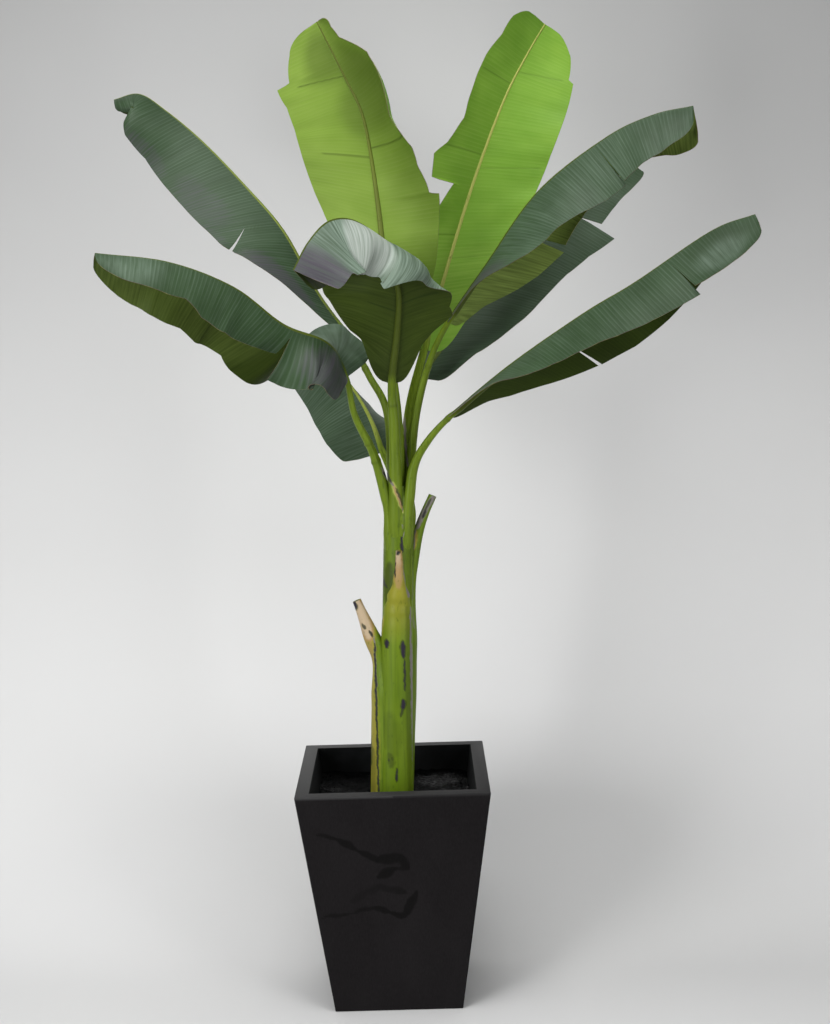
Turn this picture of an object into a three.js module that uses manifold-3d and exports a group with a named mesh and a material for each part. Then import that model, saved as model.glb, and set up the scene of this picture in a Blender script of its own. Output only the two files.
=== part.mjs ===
// A young banana plant in a tapered square planter.
// Millimetres, +Z up, origin at the centre of the planter's flat underside.
import * as THREE from 'three';
import { mergeVertices } from 'three/addons/utils/BufferGeometryUtils.js';
import Module from 'manifold-3d';

const wasm = await Module();
wasm.setup();

// ---- driving dimensions -------------------------------------------------------------------
const CLEARANCE = 0.3;          // gap between neighbouring pieces

const POT_TOP = 420;            // outer width at the rim
const POT_BASE = 282;           // outer width at the underside
const POT_HEIGHT = 510;
const POT_WALL = 32;            // width of the flat rim
const POT_FLOOR = 25;
const MIX_DEPTH = 58;           // how far the potting mix lies under the rim
const MIX_CELLS = 8;            // cells along each side of the mix's rough surface
const MIX_RELIEF = 5;           // height of its lumps
const MIX_LUMPS = [[145, 258], [119, 333]];       // their two wave lengths each way
const MIX_EDGE = 20;            // the lumps die out this close to the wall
const STEM_CLEARING = [105, 145];                 // and between these radii about the stem

const STEM_FOOT = new THREE.Vector3(4, 0, 0);     // where the stem leaves the mix, in plan
const STEM_FORK = new THREE.Vector3(31, 0, 1150); // where the leaf stalks part
const FOOT_SPARE = 20;          // made longer by this below the mix, then cut off level
const UPRIGHT_ACROSS = [[1, 0, 0], [1, 0, 0]];    // an upright limb's right-hand direction
const STEM_FOOT_RADIUS = 38;
const STEM_FORK_RADIUS = 33;

// Outer sheaths, clasping the stem: the centre line from the mix (z 0) to the cut end, and the
// half widths and half depths at even stations along it.
const SHEATHS = {
  front_sheath: {
    path: [[3, -9, 0], [8, -9, 592], [14, -9, 731], [20, -11, 871], [25, -32, 940],
      [27, -42, 1010]],
    widths: [41, 40, 39, 38, 37, 36, 34, 13, 5], depths: [37, 37, 36, 36, 35, 35, 33, 12, 5],
  },
  left_sheath: {
    path: [[-17, 0, 0], [-12, 0, 600], [-15, -2, 740], [-42, -6, 820], [-70, -8, 896]],
    widths: [36, 36, 33, 20, 10], depths: [36, 36, 33, 18, 9],
  },
  right_sheath: {
    path: [[8, 6, 0], [26, 6, 700], [36, 5, 850], [57, 5, 985], [76, 7, 1060], [104, 8, 1124]],
    widths: [35, 33, 30, 14, 9], depths: [35, 33, 30, 14, 9],
  },
};

const BLADE_THICKNESS = 8.5;    // a stand-in solid: over a hundredth of the longest blade
const TIP_HALF_WIDTH = 5;       // blades end blunt, this wide on each side of the midrib
const VEIN_SWEEP = 0.09;        // how far side veins run forward, as a share of the blade
const SWEEP_START = 0.06;       // the sweep grows over this share, so that no veins cross
const LOBE_END = 0.35;          // share of the blade over which a foot lobe's swept-back veins fade
const BLADE_STATIONS = 20;      // rows of cells along a blade
const BLADE_COLUMNS = [0.07, 0.36, 0.68, 1];      // shares of the half width, midrib to margin
const MIDRIB_DEPTH = 9;         // keel under the blade's foot
const MIDRIB_TIP_SHARE = 0.2;   // what is left of it at the tip
const FOLD_REACH = 25;          // within this of the midrib both halves thicken the same way
const LEAST_MITRE = 0.6;        // keeps the fold's mitre from growing long
const END_CROWDING = 0.6;       // 0: even stations, 1: stations crowded at both ends
const LEAST_CURL = 1e-3;        // radians: a flatter half is taken as bent this much
const NORMAL_STEP = 0.004;      // step, as a share of the blade, over which its slope is taken

const LIMB_SIDES = 10;
const LIMB_STEP = 42;           // length of one section of a limb
const STALK_TOP_SHARE = 0.7;    // a leaf stalk is flatter above than below
const CURVE_DIVISIONS = 40;     // length measures between two points of a curve
const WELD = 1e-4;              // corners closer than this are one

const POT_BLACK = '#2b2d2e';
const MIX_BLACK = '#15171a';
const LIME = '#86a53c';
const GREEN = '#5f8a34';
const SEA_GREEN = '#5b7c5c';
const OLIVE = '#5a6b2c';
const STALK_GREEN = '#6d9a2a';
const MATTE = 0.75;
const WAXY = 0.5;
const WET = 0.35;

// ---- leaves -------------------------------------------------------------------------------
// path runs from the fork along the stalk and the midrib to the tip, and the blade starts at
// path point number `bladeFrom`. across points to the blade's right half, looking along the
// path with the upper side up, at even stations from fork to tip. stalk is its half width at
// the fork and at the blade. A blade that folds over is split at row `bendStation`.
//
// Each half has its width, the shape of its outline (foot and tip exponents: small is blunt),
// the angle to the midrib at which it sets out (rise) and what the margin adds to it (curl),
// both in degrees, positive towards the upper side, at even stations from foot to tip. `lobe`
// sweeps the foot's veins back by that share of the blade. A tear lies at a share of the blade,
// runs in from the margin to `root` and opens by `gap` there; `lifts` turn the strips between.
const LEAVES = {
  upright_left: {
    path: [[32, -6, 1152], [31, -18, 1295], [18, -25, 1458], [12, -30, 1636], [0, -25, 1788],
      [-22, -10, 1939], [-60, 0, 2029], [-116, 10, 2146]],
    bladeFrom: 2, across: [[-1, 0, 0], [-1, 0, 0]], stalk: [13, 9], color: LIME,
    right: { width: 165, foot: 0.7, tip: 0.42, rise: [25, 10, 5, 10], curl: [10, 10, 5, 0] },
    left: { width: 140, foot: 0.6, tip: 0.5, rise: [25, -5, -30, -35], curl: [10, -45, -95, -40] },
  },
  upright_right: {
    path: [[38, 12, 1152], [59, 25, 1313], [94, 45, 1443], [150, 70, 1623], [214, 100, 1810],
      [284, 130, 1982], [338, 150, 2082], [382, 165, 2152]],
    bladeFrom: 2, across: [[1, 0, 0], [1, 0, 0]], stalk: [13, 9], color: GREEN,
    right: { width: 150, foot: 0.4, tip: 0.45, rise: [0, 5, 5, 0], curl: [0, 5, 5, 0] },
    left: { width: 120, foot: 0.4, tip: 0.3, rise: [45, 60, 55, 50], curl: [10, 10, 10, 10] },
  },
  front: {
    path: [[23, -30, 1140], [24, -45, 1275], [22, -60, 1376], [36, -95, 1481], [42, -150, 1575],
      [16, -220, 1665], [-40, -285, 1716], [-75, -345, 1708], [-82, -385, 1660], [-80, -398, 1600]],
    bladeFrom: 2, bendStation: 13, stalk: [15, 9], color: GREEN,
    across: [[-1, 0, 0], [-1, 0, 0], [-1, 0, 0.15], [-0.8, 0.3, 0.5], [-0.8, 0.4, 0.2]],
    right: {
      width: 185, foot: 0.55, tip: 0.45,
      rise: [20, 0, 5, -30, -60, -50], curl: [0, 0, -10, -40, -40, -20],
    },
    left: {
      width: 145, foot: 0.45, tip: 0.25,
      rise: [20, 5, 0, 0, -10, -10], curl: [0, -30, -70, -45, -10, 0],
      tears: [{ at: 0.68, root: 0.15, gap: 0.12 }], lifts: [0, 20],
    },
  },
  right_upper: {
    path: [[49, 0, 1152], [70, 4, 1302], [102, 2, 1417], [145, 0, 1503], [228, -5, 1620],
      [344, -25, 1775], [486, -60, 1881], [583, -90, 1923], [664, -110, 1937]],
    bladeFrom: 3, across: [[0, -1, 0], [0, -1, 0]], stalk: [14, 9], color: SEA_GREEN,
    right: { width: 140, foot: 0.4, tip: 0.3, rise: [0, -25, -40, -35], curl: [0, -15, -20, -30] },
    left: {
      width: 140, foot: 0.25, tip: 0.3, rise: [-60, -75, -60, -70], curl: [0, -10, -30, -10],
      tears: [{ at: 0.33, root: 0.3, gap: 0.03 }], lifts: [0, -50],
    },
  },
  right_lower: {
    path: [[50, -20, 1120], [62, -24, 1190], [88, -38, 1242], [143, -60, 1303], [270, -100, 1409],
      [427, -150, 1517], [531, -175, 1578], [684, -200, 1677], [772, -210, 1708]],
    bladeFrom: 3, across: [[0, -1, 0], [0, -1, 0]], stalk: [15, 9], color: SEA_GREEN,
    right: {
      width: 140, foot: 0.5, tip: 0.35, rise: [0, -15, -30, -35], curl: [0, -15, -20, -20],
      tears: [{ at: 0.7, root: 0.4, gap: 0.01 }], lifts: [0, 15],
    },
    left: {
      width: 108, foot: 0.3, tip: 0.5, rise: [-50, -70, -60, -50], curl: [0, -20, -30, 0],
      tears: [{ at: 0.37, root: 0.35, gap: 0.03 }], lifts: [0, -5],
    },
  },
  right_back: {
    path: [[43, 25, 1130], [55, 65, 1270], [86, 105, 1378], [202, 180, 1518], [347, 260, 1655],
      [495, 330, 1785], [615, 380, 1848]],
    bladeFrom: 2, across: [[0.5, -0.8, 0], [0.5, -0.8, 0]], stalk: [14, 9], color: SEA_GREEN,
    right: {
      width: 115, foot: 0.25, tip: 0.6, rise: [-20, -30, -40, -30], curl: [0, -10, -10, 0],
      tears: [{ at: 0.6, root: 0.3, gap: 0.04 }], lifts: [0, 0],
    },
    left: { width: 140, foot: 0.4, tip: 0.4, rise: [0, 0, 0, 0], curl: [0, -30, -30, 0] },
  },
  left_upper: {
    path: [[19, 10, 1152], [11, 25, 1310], [-27, 50, 1391], [-76, 80, 1484], [-139, 120, 1576],
      [-214, 170, 1715], [-301, 220, 1820], [-401, 260, 1927], [-486, 285, 2001],
      [-546, 298, 2040], [-604, 292, 2028]],
    bladeFrom: 3, across: [[0, 1, 0], [0, 1, 0]], stalk: [14, 9], color: SEA_GREEN,
    right: { width: 140, foot: 0.4, tip: 0.3, rise: [0, -20, -30, -20], curl: [0, -10, -10, -10] },
    left: {
      width: 150, foot: 0.35, tip: 0.5, rise: [-30, -50, -60, -20], curl: [0, -10, -10, -10],
      tears: [{ at: 0.27, root: 0.35, gap: 0.03 }], lifts: [-10, 0],
    },
  },
  left_lower: {
    path: [[7, -20, 1110], [-20, -38, 1222], [-57, -63, 1311], [-73, -85, 1394], [-108, -105, 1468],
      [-199, -140, 1511], [-295, -190, 1590], [-419, -240, 1643], [-560, -280, 1664]],
    bladeFrom: 3, stalk: [14, 9], color: OLIVE,
    across: [[0.9, 0.4, 0], [0.7, 0.7, 0], [0, 1, 0], [0, 1, 0], [0, 1, 0]],
    right: {
      width: 150, foot: 0.25, tip: 0.4, lobe: 0.08,
      rise: [-20, -60, -60, -40], curl: [0, -30, -30, 0],
    },
    left: {
      width: 140, foot: 0.22, tip: 0.4, lobe: 0.06,
      rise: [-20, -40, -30, -30], curl: [0, -15, -10, 0],
      tears: [{ at: 0.27, root: 0.25, gap: 0.02 }], lifts: [-30, 0],
    },
  },
  left_back: {
    path: [[29, 28, 1110], [16, 60, 1170], [-4, 90, 1215], [-28, 130, 1284], [-66, 180, 1350],
      [-114, 240, 1405], [-175, 300, 1450], [-205, 330, 1440]],
    bladeFrom: 2, across: [[1, 0.2, 0], [0.9, 0.5, 0], [0.7, 0.7, 0]], stalk: [13, 8], color: OLIVE,
    right: { width: 90, foot: 0.25, tip: 0.4, rise: [-20, -40, -50, -40], curl: [0, -10, -10, 0] },
    left: {
      width: 125, foot: 0.25, tip: 0.4, lobe: 0.12,
      rise: [-20, -50, -60, -40], curl: [0, -10, -10, 0],
    },
  },
};

// ---- small helpers ------------------------------------------------------------------------
const vector = ([x, y, z]) => new THREE.Vector3(x, y, z);
const radians = THREE.MathUtils.degToRad;

/** A value given at even stations from 0 to 1, eased between them. */
function keyed(values, share) {
  const place = THREE.MathUtils.clamp(share, 0, 1) * (values.length - 1);
  const index = Math.min(Math.floor(place), values.length - 2);
  const ease = THREE.MathUtils.smoothstep(place - index, 0, 1);
  return THREE.MathUtils.lerp(values[index], values[index + 1], ease);
}

function geometryFrom(points, triangles) {
  const geometry = new THREE.BufferGeometry();
  const places = points.flatMap((point) => [...point]);
  geometry.setAttribute('position', new THREE.Float32BufferAttribute(places, 3));
  geometry.setIndex(triangles.flat());
  return geometry;
}

function solidFrom(geometry) {
  const bare = geometry.clone();
  bare.deleteAttribute('normal');
  bare.deleteAttribute('uv');
  const merged = mergeVertices(bare, WELD);
  return new wasm.Manifold(new wasm.Mesh({
    numProp: 3,
    vertProperties: merged.attributes.position.array,
    triVerts: new Uint32Array(merged.index.array),
  }));
}

function geometryOf(solid) {
  const mesh = solid.getMesh();
  const geometry = new THREE.BufferGeometry();
  geometry.setAttribute('position', new THREE.BufferAttribute(mesh.vertProperties, 3));
  geometry.setIndex(new THREE.BufferAttribute(mesh.triVerts, 1));
  return geometry;
}

function piece(name, geometry, color, roughness) {
  const faceted = geometry.toNonIndexed();
  faceted.computeVertexNormals();
  const material = new THREE.MeshStandardMaterial({ color, roughness, metalness: 0 });
  const mesh = new THREE.Mesh(faceted, material);
  mesh.name = name;
  return mesh;
}

// ---- a curved line with a frame: along, across (to the right) and up ----------------------
class FramedPath {
  constructor(points, across) {
    this.curve = new THREE.CatmullRomCurve3(points.map(vector), false, 'catmullrom', 0.5);
    this.spans = points.length - 1;
    this.curve.arcLengthDivisions = CURVE_DIVISIONS * this.spans;
    this.across = across;
    this.length = this.curve.getLength();
  }

  /** The share of the length at which control point `index` lies. */
  shareOf(index) {
    const lengths = this.curve.getLengths();
    return lengths[Math.round((index / this.spans) * (lengths.length - 1))] / this.length;
  }

  at(share) {
    const inside = THREE.MathUtils.clamp(share, 0, 1);
    const along = this.curve.getTangentAt(inside);
    const across = vector([0, 1, 2]
      .map((axis) => keyed(this.across.map((key) => key[axis]), inside)));
    across.addScaledVector(along, -across.dot(along)).normalize();
    const up = across.clone().cross(along);
    return { point: this.curve.getPointAt(inside), along, across, up };
  }
}

// ---- limbs: closed sweeps whose oval section tapers along a framed path --------------------
function limb(path, { to = 1, widths, depths = widths, topShare = 1, grow = 0 }) {
  const steps = Math.max(3, Math.round((path.length * to) / LIMB_STEP));
  const points = [];
  const triangles = [];
  for (let i = 0; i <= steps; i += 1) {
    const share = i / steps;
    const ends = (i === 0 ? -grow : 0) + (i === steps ? grow : 0);
    const { point, along, across, up } = path.at(to * share);
    const halfWidth = keyed(widths, share) + grow;
    const halfDepth = keyed(depths, share) + grow;
    for (let k = 0; k < LIMB_SIDES; k += 1) {
      const angle = (2 * Math.PI * k) / LIMB_SIDES;
      const rise = Math.sin(angle) * (Math.sin(angle) > 0 ? topShare : 1);
      points.push(point.clone().addScaledVector(along, ends)
        .addScaledVector(across, halfWidth * Math.cos(angle))
        .addScaledVector(up, halfDepth * rise));
    }
  }
  const row = (i, k) => i * LIMB_SIDES + (k % LIMB_SIDES);
  for (let i = 0; i < steps; i += 1) {
    for (let k = 0; k < LIMB_SIDES; k += 1) {
      triangles.push([row(i, k), row(i + 1, k + 1), row(i, k + 1)]);
      triangles.push([row(i, k), row(i + 1, k), row(i + 1, k + 1)]);
    }
  }
  for (let k = 1; k < LIMB_SIDES - 1; k += 1) {
    triangles.push([row(0, 0), row(0, k), row(0, k + 1)]);
    triangles.push([row(steps, 0), row(steps, k + 1), row(steps, k)]);
  }
  return geometryFrom(points, triangles);
}

// ---- blades -------------------------------------------------------------------------------
/** The share of the blade at which row `i` of its cells begins. */
function stationShare(i) {
  const even = i / BLADE_STATIONS;
  const crowded = (1 - Math.cos(Math.PI * even)) / 2;
  return THREE.MathUtils.lerp(even, crowded, END_CROWDING);
}

/** The row of cells that begins nearest to a share of the blade. */
function stationOf(at) {
  const rows = Array.from({ length: BLADE_STATIONS + 1 }, (_, i) => i);
  const off = (i) => Math.abs(stationShare(i) - at);
  return rows.reduce((best, i) => (off(i) < off(best) ? i : best), 0);
}

/** Half width of a blade where a vein leaves the midrib at `share`. */
function halfWidth({ foot, tip, width }, share) {
  const widest = foot / (foot + tip);
  const peak = widest ** foot * (1 - widest) ** tip;
  const outline = (share ** foot * (1 - share) ** tip) / peak;
  return THREE.MathUtils.lerp(TIP_HALF_WIDTH, width, outline);
}

/** The strips that tears leave of one half, from cut to cut, moved to the nearest rows. */
function stripsOf({ tears = [], lifts = [] }) {
  const whole = { root: 1, gap: 0 };
  const cuts = [{ ...whole, ...tears[0], at: 0, gap: 0 }, ...tears,
    { ...whole, ...tears.at(-1), at: 1, gap: 0 }]
    .map((cut) => ({ ...cut, station: stationOf(cut.at) }))
    .map((cut) => ({ ...cut, at: stationShare(cut.station) }));
  return cuts.slice(1).map((end, n) => ({ start: cuts[n], end, lift: lifts[n] ?? 0 }));
}

/** Where a share of the blade lies on the leaf's whole path. */
const placeOnPath = (leaf, share) => THREE.MathUtils.lerp(leaf.bladeShare, 1, share);

/** How far along the blade a vein that leaves the midrib at `share` has come at `reach`. */
function swept(half, share, reach) {
  const back = (half.lobe ?? 0) * (1 - THREE.MathUtils.smoothstep(share, 0, LOBE_END));
  const grown = THREE.MathUtils.smoothstep(share, 0, SWEEP_START);
  return share + (VEIN_SWEEP * (1 - share) - back) * grown * reach;
}

/** A point of the blade's middle surface: share along, then from midrib (0) to margin (1). */
function bladePoint(leaf, side, strip, share, reach) {
  const half = side > 0 ? leaf.right : leaf.left;
  const inStrip = (share - strip.start.at) / (strip.end.at - strip.start.at);
  const root = THREE.MathUtils.lerp(strip.start.root, strip.end.root, inStrip);
  const torn = root < 1 ? Math.max(0, (reach - root) / (1 - root)) : 0;
  const closed = THREE.MathUtils.lerp(strip.start.gap, -strip.end.gap, inStrip) / 2;
  const rootShare = THREE.MathUtils.clamp(share + closed * torn, 0, 1);
  const { point, across, up } = leaf.framed.at(placeOnPath(leaf, swept(half, rootShare, reach)));
  const width = halfWidth(half, rootShare);
  const rise = radians(keyed(half.rise, share));
  const curl = radians(keyed(half.curl, share) + strip.lift * torn);
  if (reach === 0) return point;
  const bend = (Math.abs(curl) < LEAST_CURL ? LEAST_CURL : curl) * reach;
  const out = (Math.sin(rise + bend) - Math.sin(rise)) / bend;
  const lift = (Math.cos(rise) - Math.cos(rise + bend)) / bend;
  return point.addScaledVector(across, side * out * width * reach)
    .addScaledVector(up, lift * width * reach);
}

/** The upper side's normal there. */
function bladeNormal(leaf, side, strip, share, reach) {
  const lower = Math.max(share - NORMAL_STEP, strip.start.at);
  const upper = Math.min(share + NORMAL_STEP, strip.end.at);
  const near = Math.max(reach - NORMAL_STEP, 0);
  const far = Math.min(reach + NORMAL_STEP, 1);
  const forward = bladePoint(leaf, side, strip, upper, reach)
    .sub(bladePoint(leaf, side, strip, lower, reach));
  const outward = bladePoint(leaf, side, strip, share, far)
    .sub(bladePoint(leaf, side, strip, share, near)).multiplyScalar(side);
  return outward.cross(forward).normalize();
}

/** The upward direction midway between the two halves at `place`, of veins from `share`. */
function foldNormal(leaf, share, place) {
  const { across, up } = leaf.framed.at(placeOnPath(leaf, place));
  const [right, left] = [leaf.right, leaf.left].map((half) => radians(keyed(half.rise, share)));
  return up.multiplyScalar(Math.cos(right) + Math.cos(left))
    .addScaledVector(across, Math.sin(left) - Math.sin(right)).normalize();
}

/** From the middle surface to the upper one: across the blade, and mitred along its fold. */
function halfThickness(leaf, side, strip, share, reach) {
  const half = side > 0 ? leaf.right : leaf.left;
  const fold = foldNormal(leaf, share, swept(half, share, reach));
  const own = bladeNormal(leaf, side, strip, share, Math.max(reach, NORMAL_STEP));
  const fromMidrib = reach * halfWidth(half, share);
  const direction = fold.lerp(own, THREE.MathUtils.smoothstep(fromMidrib, 0, FOLD_REACH));
  direction.normalize();
  const mitre = Math.max(direction.dot(own), LEAST_MITRE);
  return direction.multiplyScalar(BLADE_THICKNESS / 2 / mitre);
}

/** A leaf blade from row `first` to row `last` as one closed solid with a keel for midrib. */
function blade(leaf, first, last) {
  const tops = [];
  const bottoms = [];
  const cells = [];
  const numbers = new Map();
  const trim = CLEARANCE / leaf.bladeLength;

  // Column -1 is the midrib. Corners are shared, except across a tear outside its root.
  const vertex = (side, strip, i, column) => {
    const onMidrib = column < 0;
    const reach = onMidrib ? 0 : BLADE_COLUMNS[column];
    const tear = [strip.start, strip.end].find((cut) => cut.station === i);
    const apart = tear && i > 0 && i < BLADE_STATIONS && reach > tear.root;
    const name = onMidrib ? `${i}` : `${side} ${i} ${column} ${apart ? strip.start.station : ''}`;
    if (!numbers.has(name)) {
      let share = stationShare(i);
      if (i === first) share += trim;
      else if (i === last && last < BLADE_STATIONS) share -= trim;
      const middle = bladePoint(leaf, side, strip, share, reach);
      const toTop = halfThickness(leaf, side, strip, share, reach);
      const keel = onMidrib ? MIDRIB_DEPTH * THREE.MathUtils.lerp(1, MIDRIB_TIP_SHARE, share) : 0;
      numbers.set(name, tops.length);
      tops.push(middle.clone().add(toTop));
      bottoms.push(middle.sub(toTop.setLength(toTop.length() + keel)));
    }
    return numbers.get(name);
  };

  for (const side of [-1, 1]) {
    for (const strip of stripsOf(side > 0 ? leaf.right : leaf.left)) {
      const start = Math.max(first, strip.start.station);
      const end = Math.min(last, strip.end.station);
      for (let i = start; i < end; i += 1) {
        for (let column = -1; column < BLADE_COLUMNS.length - 1; column += 1) {
          const cell = [[i, column], [i, column + 1], [i + 1, column + 1], [i + 1, column]]
            .map(([station, line]) => vertex(side, strip, station, line));
          cells.push(side > 0 ? cell : cell.reverse());
        }
      }
    }
  }
  return thicken(tops, bottoms, cells);
}

/** Joins an upper and a lower sheet, cell by cell, and walls in every open edge. */
function thicken(tops, bottoms, cells) {
  const offset = tops.length;
  const triangles = [];
  const edges = new Map();
  for (const [a, b, c, d] of cells) {
    triangles.push([a, b, c], [a, c, d]);
    triangles.push([c + offset, b + offset, a + offset], [d + offset, c + offset, a + offset]);
    for (const [from, to] of [[a, b], [b, c], [c, d], [d, a]]) {
      if (!edges.delete(`${to} ${from}`)) edges.set(`${from} ${to}`, [from, to]);
    }
  }
  for (const [from, to] of edges.values()) {
    triangles.push([to, from, from + offset], [to, from + offset, to + offset]);
  }
  return geometryFrom([...tops, ...bottoms], triangles);
}

// ---- the planter and its mix --------------------------------------------------------------
const MIX_TOP = POT_HEIGHT - MIX_DEPTH;
const outerWidth = (height) => THREE.MathUtils.lerp(POT_BASE, POT_TOP, height / POT_HEIGHT);
const innerWidth = (height) => outerWidth(height) - 2 * POT_WALL;

/** A square frustum about the Z axis, as wide at each level as `width` says. */
function squareFrustum(width, bottom, top) {
  const [below, above] = [bottom, top].map((height) => width(height) * Math.SQRT1_2);
  return new THREE.CylinderGeometry(above, below, top - bottom, 4)
    .rotateX(Math.PI / 2).rotateZ(Math.PI / 4).translate(0, 0, (top + bottom) / 2);
}

function pot() {
  const body = solidFrom(squareFrustum(outerWidth, 0, POT_HEIGHT));
  const hollow = solidFrom(squareFrustum(innerWidth, POT_FLOOR, POT_HEIGHT + POT_WALL));
  return piece('pot', geometryOf(body.subtract(hollow)), POT_BLACK, MATTE);
}

/** Height of the mix's lumps over its mean level, nothing at the wall and about the stem. */
function lump(x, y, toWall) {
  const fromStem = Math.hypot(x - STEM_FOOT.x, y - STEM_FOOT.y);
  const [[first, second], [third, fourth]] = MIX_LUMPS;
  const waves = Math.sin(2 * Math.PI * (x / first + y / second))
    * Math.cos(2 * Math.PI * (y / third - x / fourth));
  return MIX_RELIEF * waves * THREE.MathUtils.smoothstep(fromStem, ...STEM_CLEARING)
    * Math.min(1, toWall / MIX_EDGE);
}

function pottingMix() {
  const bottom = POT_FLOOR + CLEARANCE;
  const geometry = new THREE.BoxGeometry(2, 2, 1, MIX_CELLS, MIX_CELLS, 1);
  const position = geometry.attributes.position;
  for (let i = 0; i < position.count; i += 1) {
    const onTop = position.getZ(i) > 0;
    const height = onTop ? MIX_TOP : bottom;
    const reach = innerWidth(height) / 2 - CLEARANCE;
    const x = position.getX(i) * reach;
    const y = position.getY(i) * reach;
    const toWall = reach - Math.max(Math.abs(x), Math.abs(y));
    position.setXYZ(i, x, y, onTop ? height + lump(x, y, toWall) : height);
  }
  return piece('potting_mix', geometryOf(solidFrom(geometry)), MIX_BLACK, WET);
}

// ---- the stem, its sheaths, the stalks and the blades, from the inside out -----------------
function plant() {
  const parts = [];
  const taken = [];   // what later pieces are cut clear of
  const cutClear = (solid) => taken.reduce((rest, other) => rest.subtract(other), solid);
  const addLimb = (name, path, shape) => {
    const solid = cutClear(solidFrom(limb(path, shape)));
    taken.push(solidFrom(limb(path, { ...shape, grow: CLEARANCE })));
    parts.push(piece(name, geometryOf(solid), STALK_GREEN, WAXY));
  };

  taken.push(solidFrom(new THREE.BoxGeometry(POT_TOP, POT_TOP, 2 * FOOT_SPARE)
    .translate(0, 0, MIX_TOP + CLEARANCE - FOOT_SPARE)));
  const foot = MIX_TOP - FOOT_SPARE;
  const start = STEM_FOOT.clone().setZ(foot);
  const stem = [start, start.clone().lerp(STEM_FORK, 0.5), STEM_FORK].map((point) => [...point]);
  addLimb('pseudostem', new FramedPath(stem, UPRIGHT_ACROSS),
    { widths: [STEM_FOOT_RADIUS, STEM_FORK_RADIUS] });

  for (const [name, { path, ...shape }] of Object.entries(SHEATHS)) {
    const standing = path.map(([x, y, z]) => [x, y, Math.max(z, foot)]);
    addLimb(name, new FramedPath(standing, UPRIGHT_ACROSS), shape);
  }

  const leaves = Object.entries(LEAVES).map(([name, leaf]) => {
    const framed = new FramedPath(leaf.path, leaf.across);
    const bladeShare = framed.shareOf(leaf.bladeFrom);
    return [name, { ...leaf, framed, bladeShare, bladeLength: framed.length * (1 - bladeShare) }];
  });
  for (const [name, { framed, bladeShare, stalk: [thick, thin] }] of leaves) {
    addLimb(`${name}_stalk`, framed, {
      to: bladeShare - CLEARANCE / 2 / framed.length,
      widths: [thick, (thick + thin) / 2, thin],
      topShare: STALK_TOP_SHARE,
    });
  }
  for (const [name, leaf] of leaves) {
    const bend = leaf.bendStation ?? BLADE_STATIONS;
    const solid = cutClear(solidFrom(blade(leaf, 0, bend)));
    parts.push(piece(`${name}_leaf`, geometryOf(solid), leaf.color, WAXY));
    if (bend < BLADE_STATIONS) {
      const folded = blade(leaf, bend, BLADE_STATIONS);
      parts.push(piece(`${name}_leaf_tip`, folded, leaf.color, WAXY));
    }
  }
  return parts;
}

const bananaPlant = new THREE.Group();
bananaPlant.name = 'banana_plant';
bananaPlant.add(pot(), pottingMix(), ...plant());

export default bananaPlant;
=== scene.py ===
"""The looks of a young banana plant in a square planter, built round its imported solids."""
import math

import bpy
import numpy as np
from mathutils import Matrix, Vector, noise


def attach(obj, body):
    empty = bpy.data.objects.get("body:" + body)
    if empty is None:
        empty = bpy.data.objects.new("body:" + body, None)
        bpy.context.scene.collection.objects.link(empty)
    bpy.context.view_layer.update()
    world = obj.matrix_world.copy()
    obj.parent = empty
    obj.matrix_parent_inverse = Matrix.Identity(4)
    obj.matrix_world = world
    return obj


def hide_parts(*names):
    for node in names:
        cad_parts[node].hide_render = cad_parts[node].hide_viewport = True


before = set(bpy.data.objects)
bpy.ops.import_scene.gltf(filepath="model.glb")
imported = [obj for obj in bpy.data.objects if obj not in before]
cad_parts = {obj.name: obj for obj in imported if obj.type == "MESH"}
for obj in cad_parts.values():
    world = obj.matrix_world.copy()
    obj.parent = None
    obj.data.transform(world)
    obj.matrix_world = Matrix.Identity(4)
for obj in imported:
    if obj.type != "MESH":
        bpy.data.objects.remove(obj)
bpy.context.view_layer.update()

bl_info = {
    "name": "Potted banana plant",
    "version": (1, 0, 0),
    "blender": (4, 5, 0),
    "location": "View3D > Sidebar > Banana plant",
    "description": "Leaves, stem, planter and studio for a potted banana plant",
    "category": "Object",
}

MM = 0.001

# ---- sizes shared with the solids, in millimetres ----
STEM_BASE = 440  # where the stem goes into the fill
STEM_FOOT = (4, 0)
STEM_FORK = (31, 0, 1150)
STEM_RADII = (38, 33)
TIP_HALF_WIDTH = 5
CURVE_DIVISIONS = 40
ARC_STEPS = 16  # in which the turn from midrib to margin adds up
# Shares of a blade's length:
VEIN_SWEEP = 0.09  # how far its side veins lean towards the tip, at the foot
SWEEP_START = 0.06
LOBE_END = 0.35
ROLL_POWER = 4  # a rolled margin's turn grows with this power of the reach

# ---- wear, painted shade and painted light ----
WEAR_AND_SHADING = ("dark", "bruise", "pale")  # what red, green and blue stand for; dark holds painted shade among scars and smudges, pale painted light among bloom and dryness
CREASE_WIDTH = 1.7  # half the width of a crease's line of painted shade, millimetres
MARK_FADE = (0.4, 1.1)  # where a blade's mark starts to fade and where it ends
STROKE_FADE = (0.3, 1.5)  # the same across a drawn stroke, in half widths
STROKE_TAPER = 0.8  # how much a drawn stroke narrows at its ends
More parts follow.
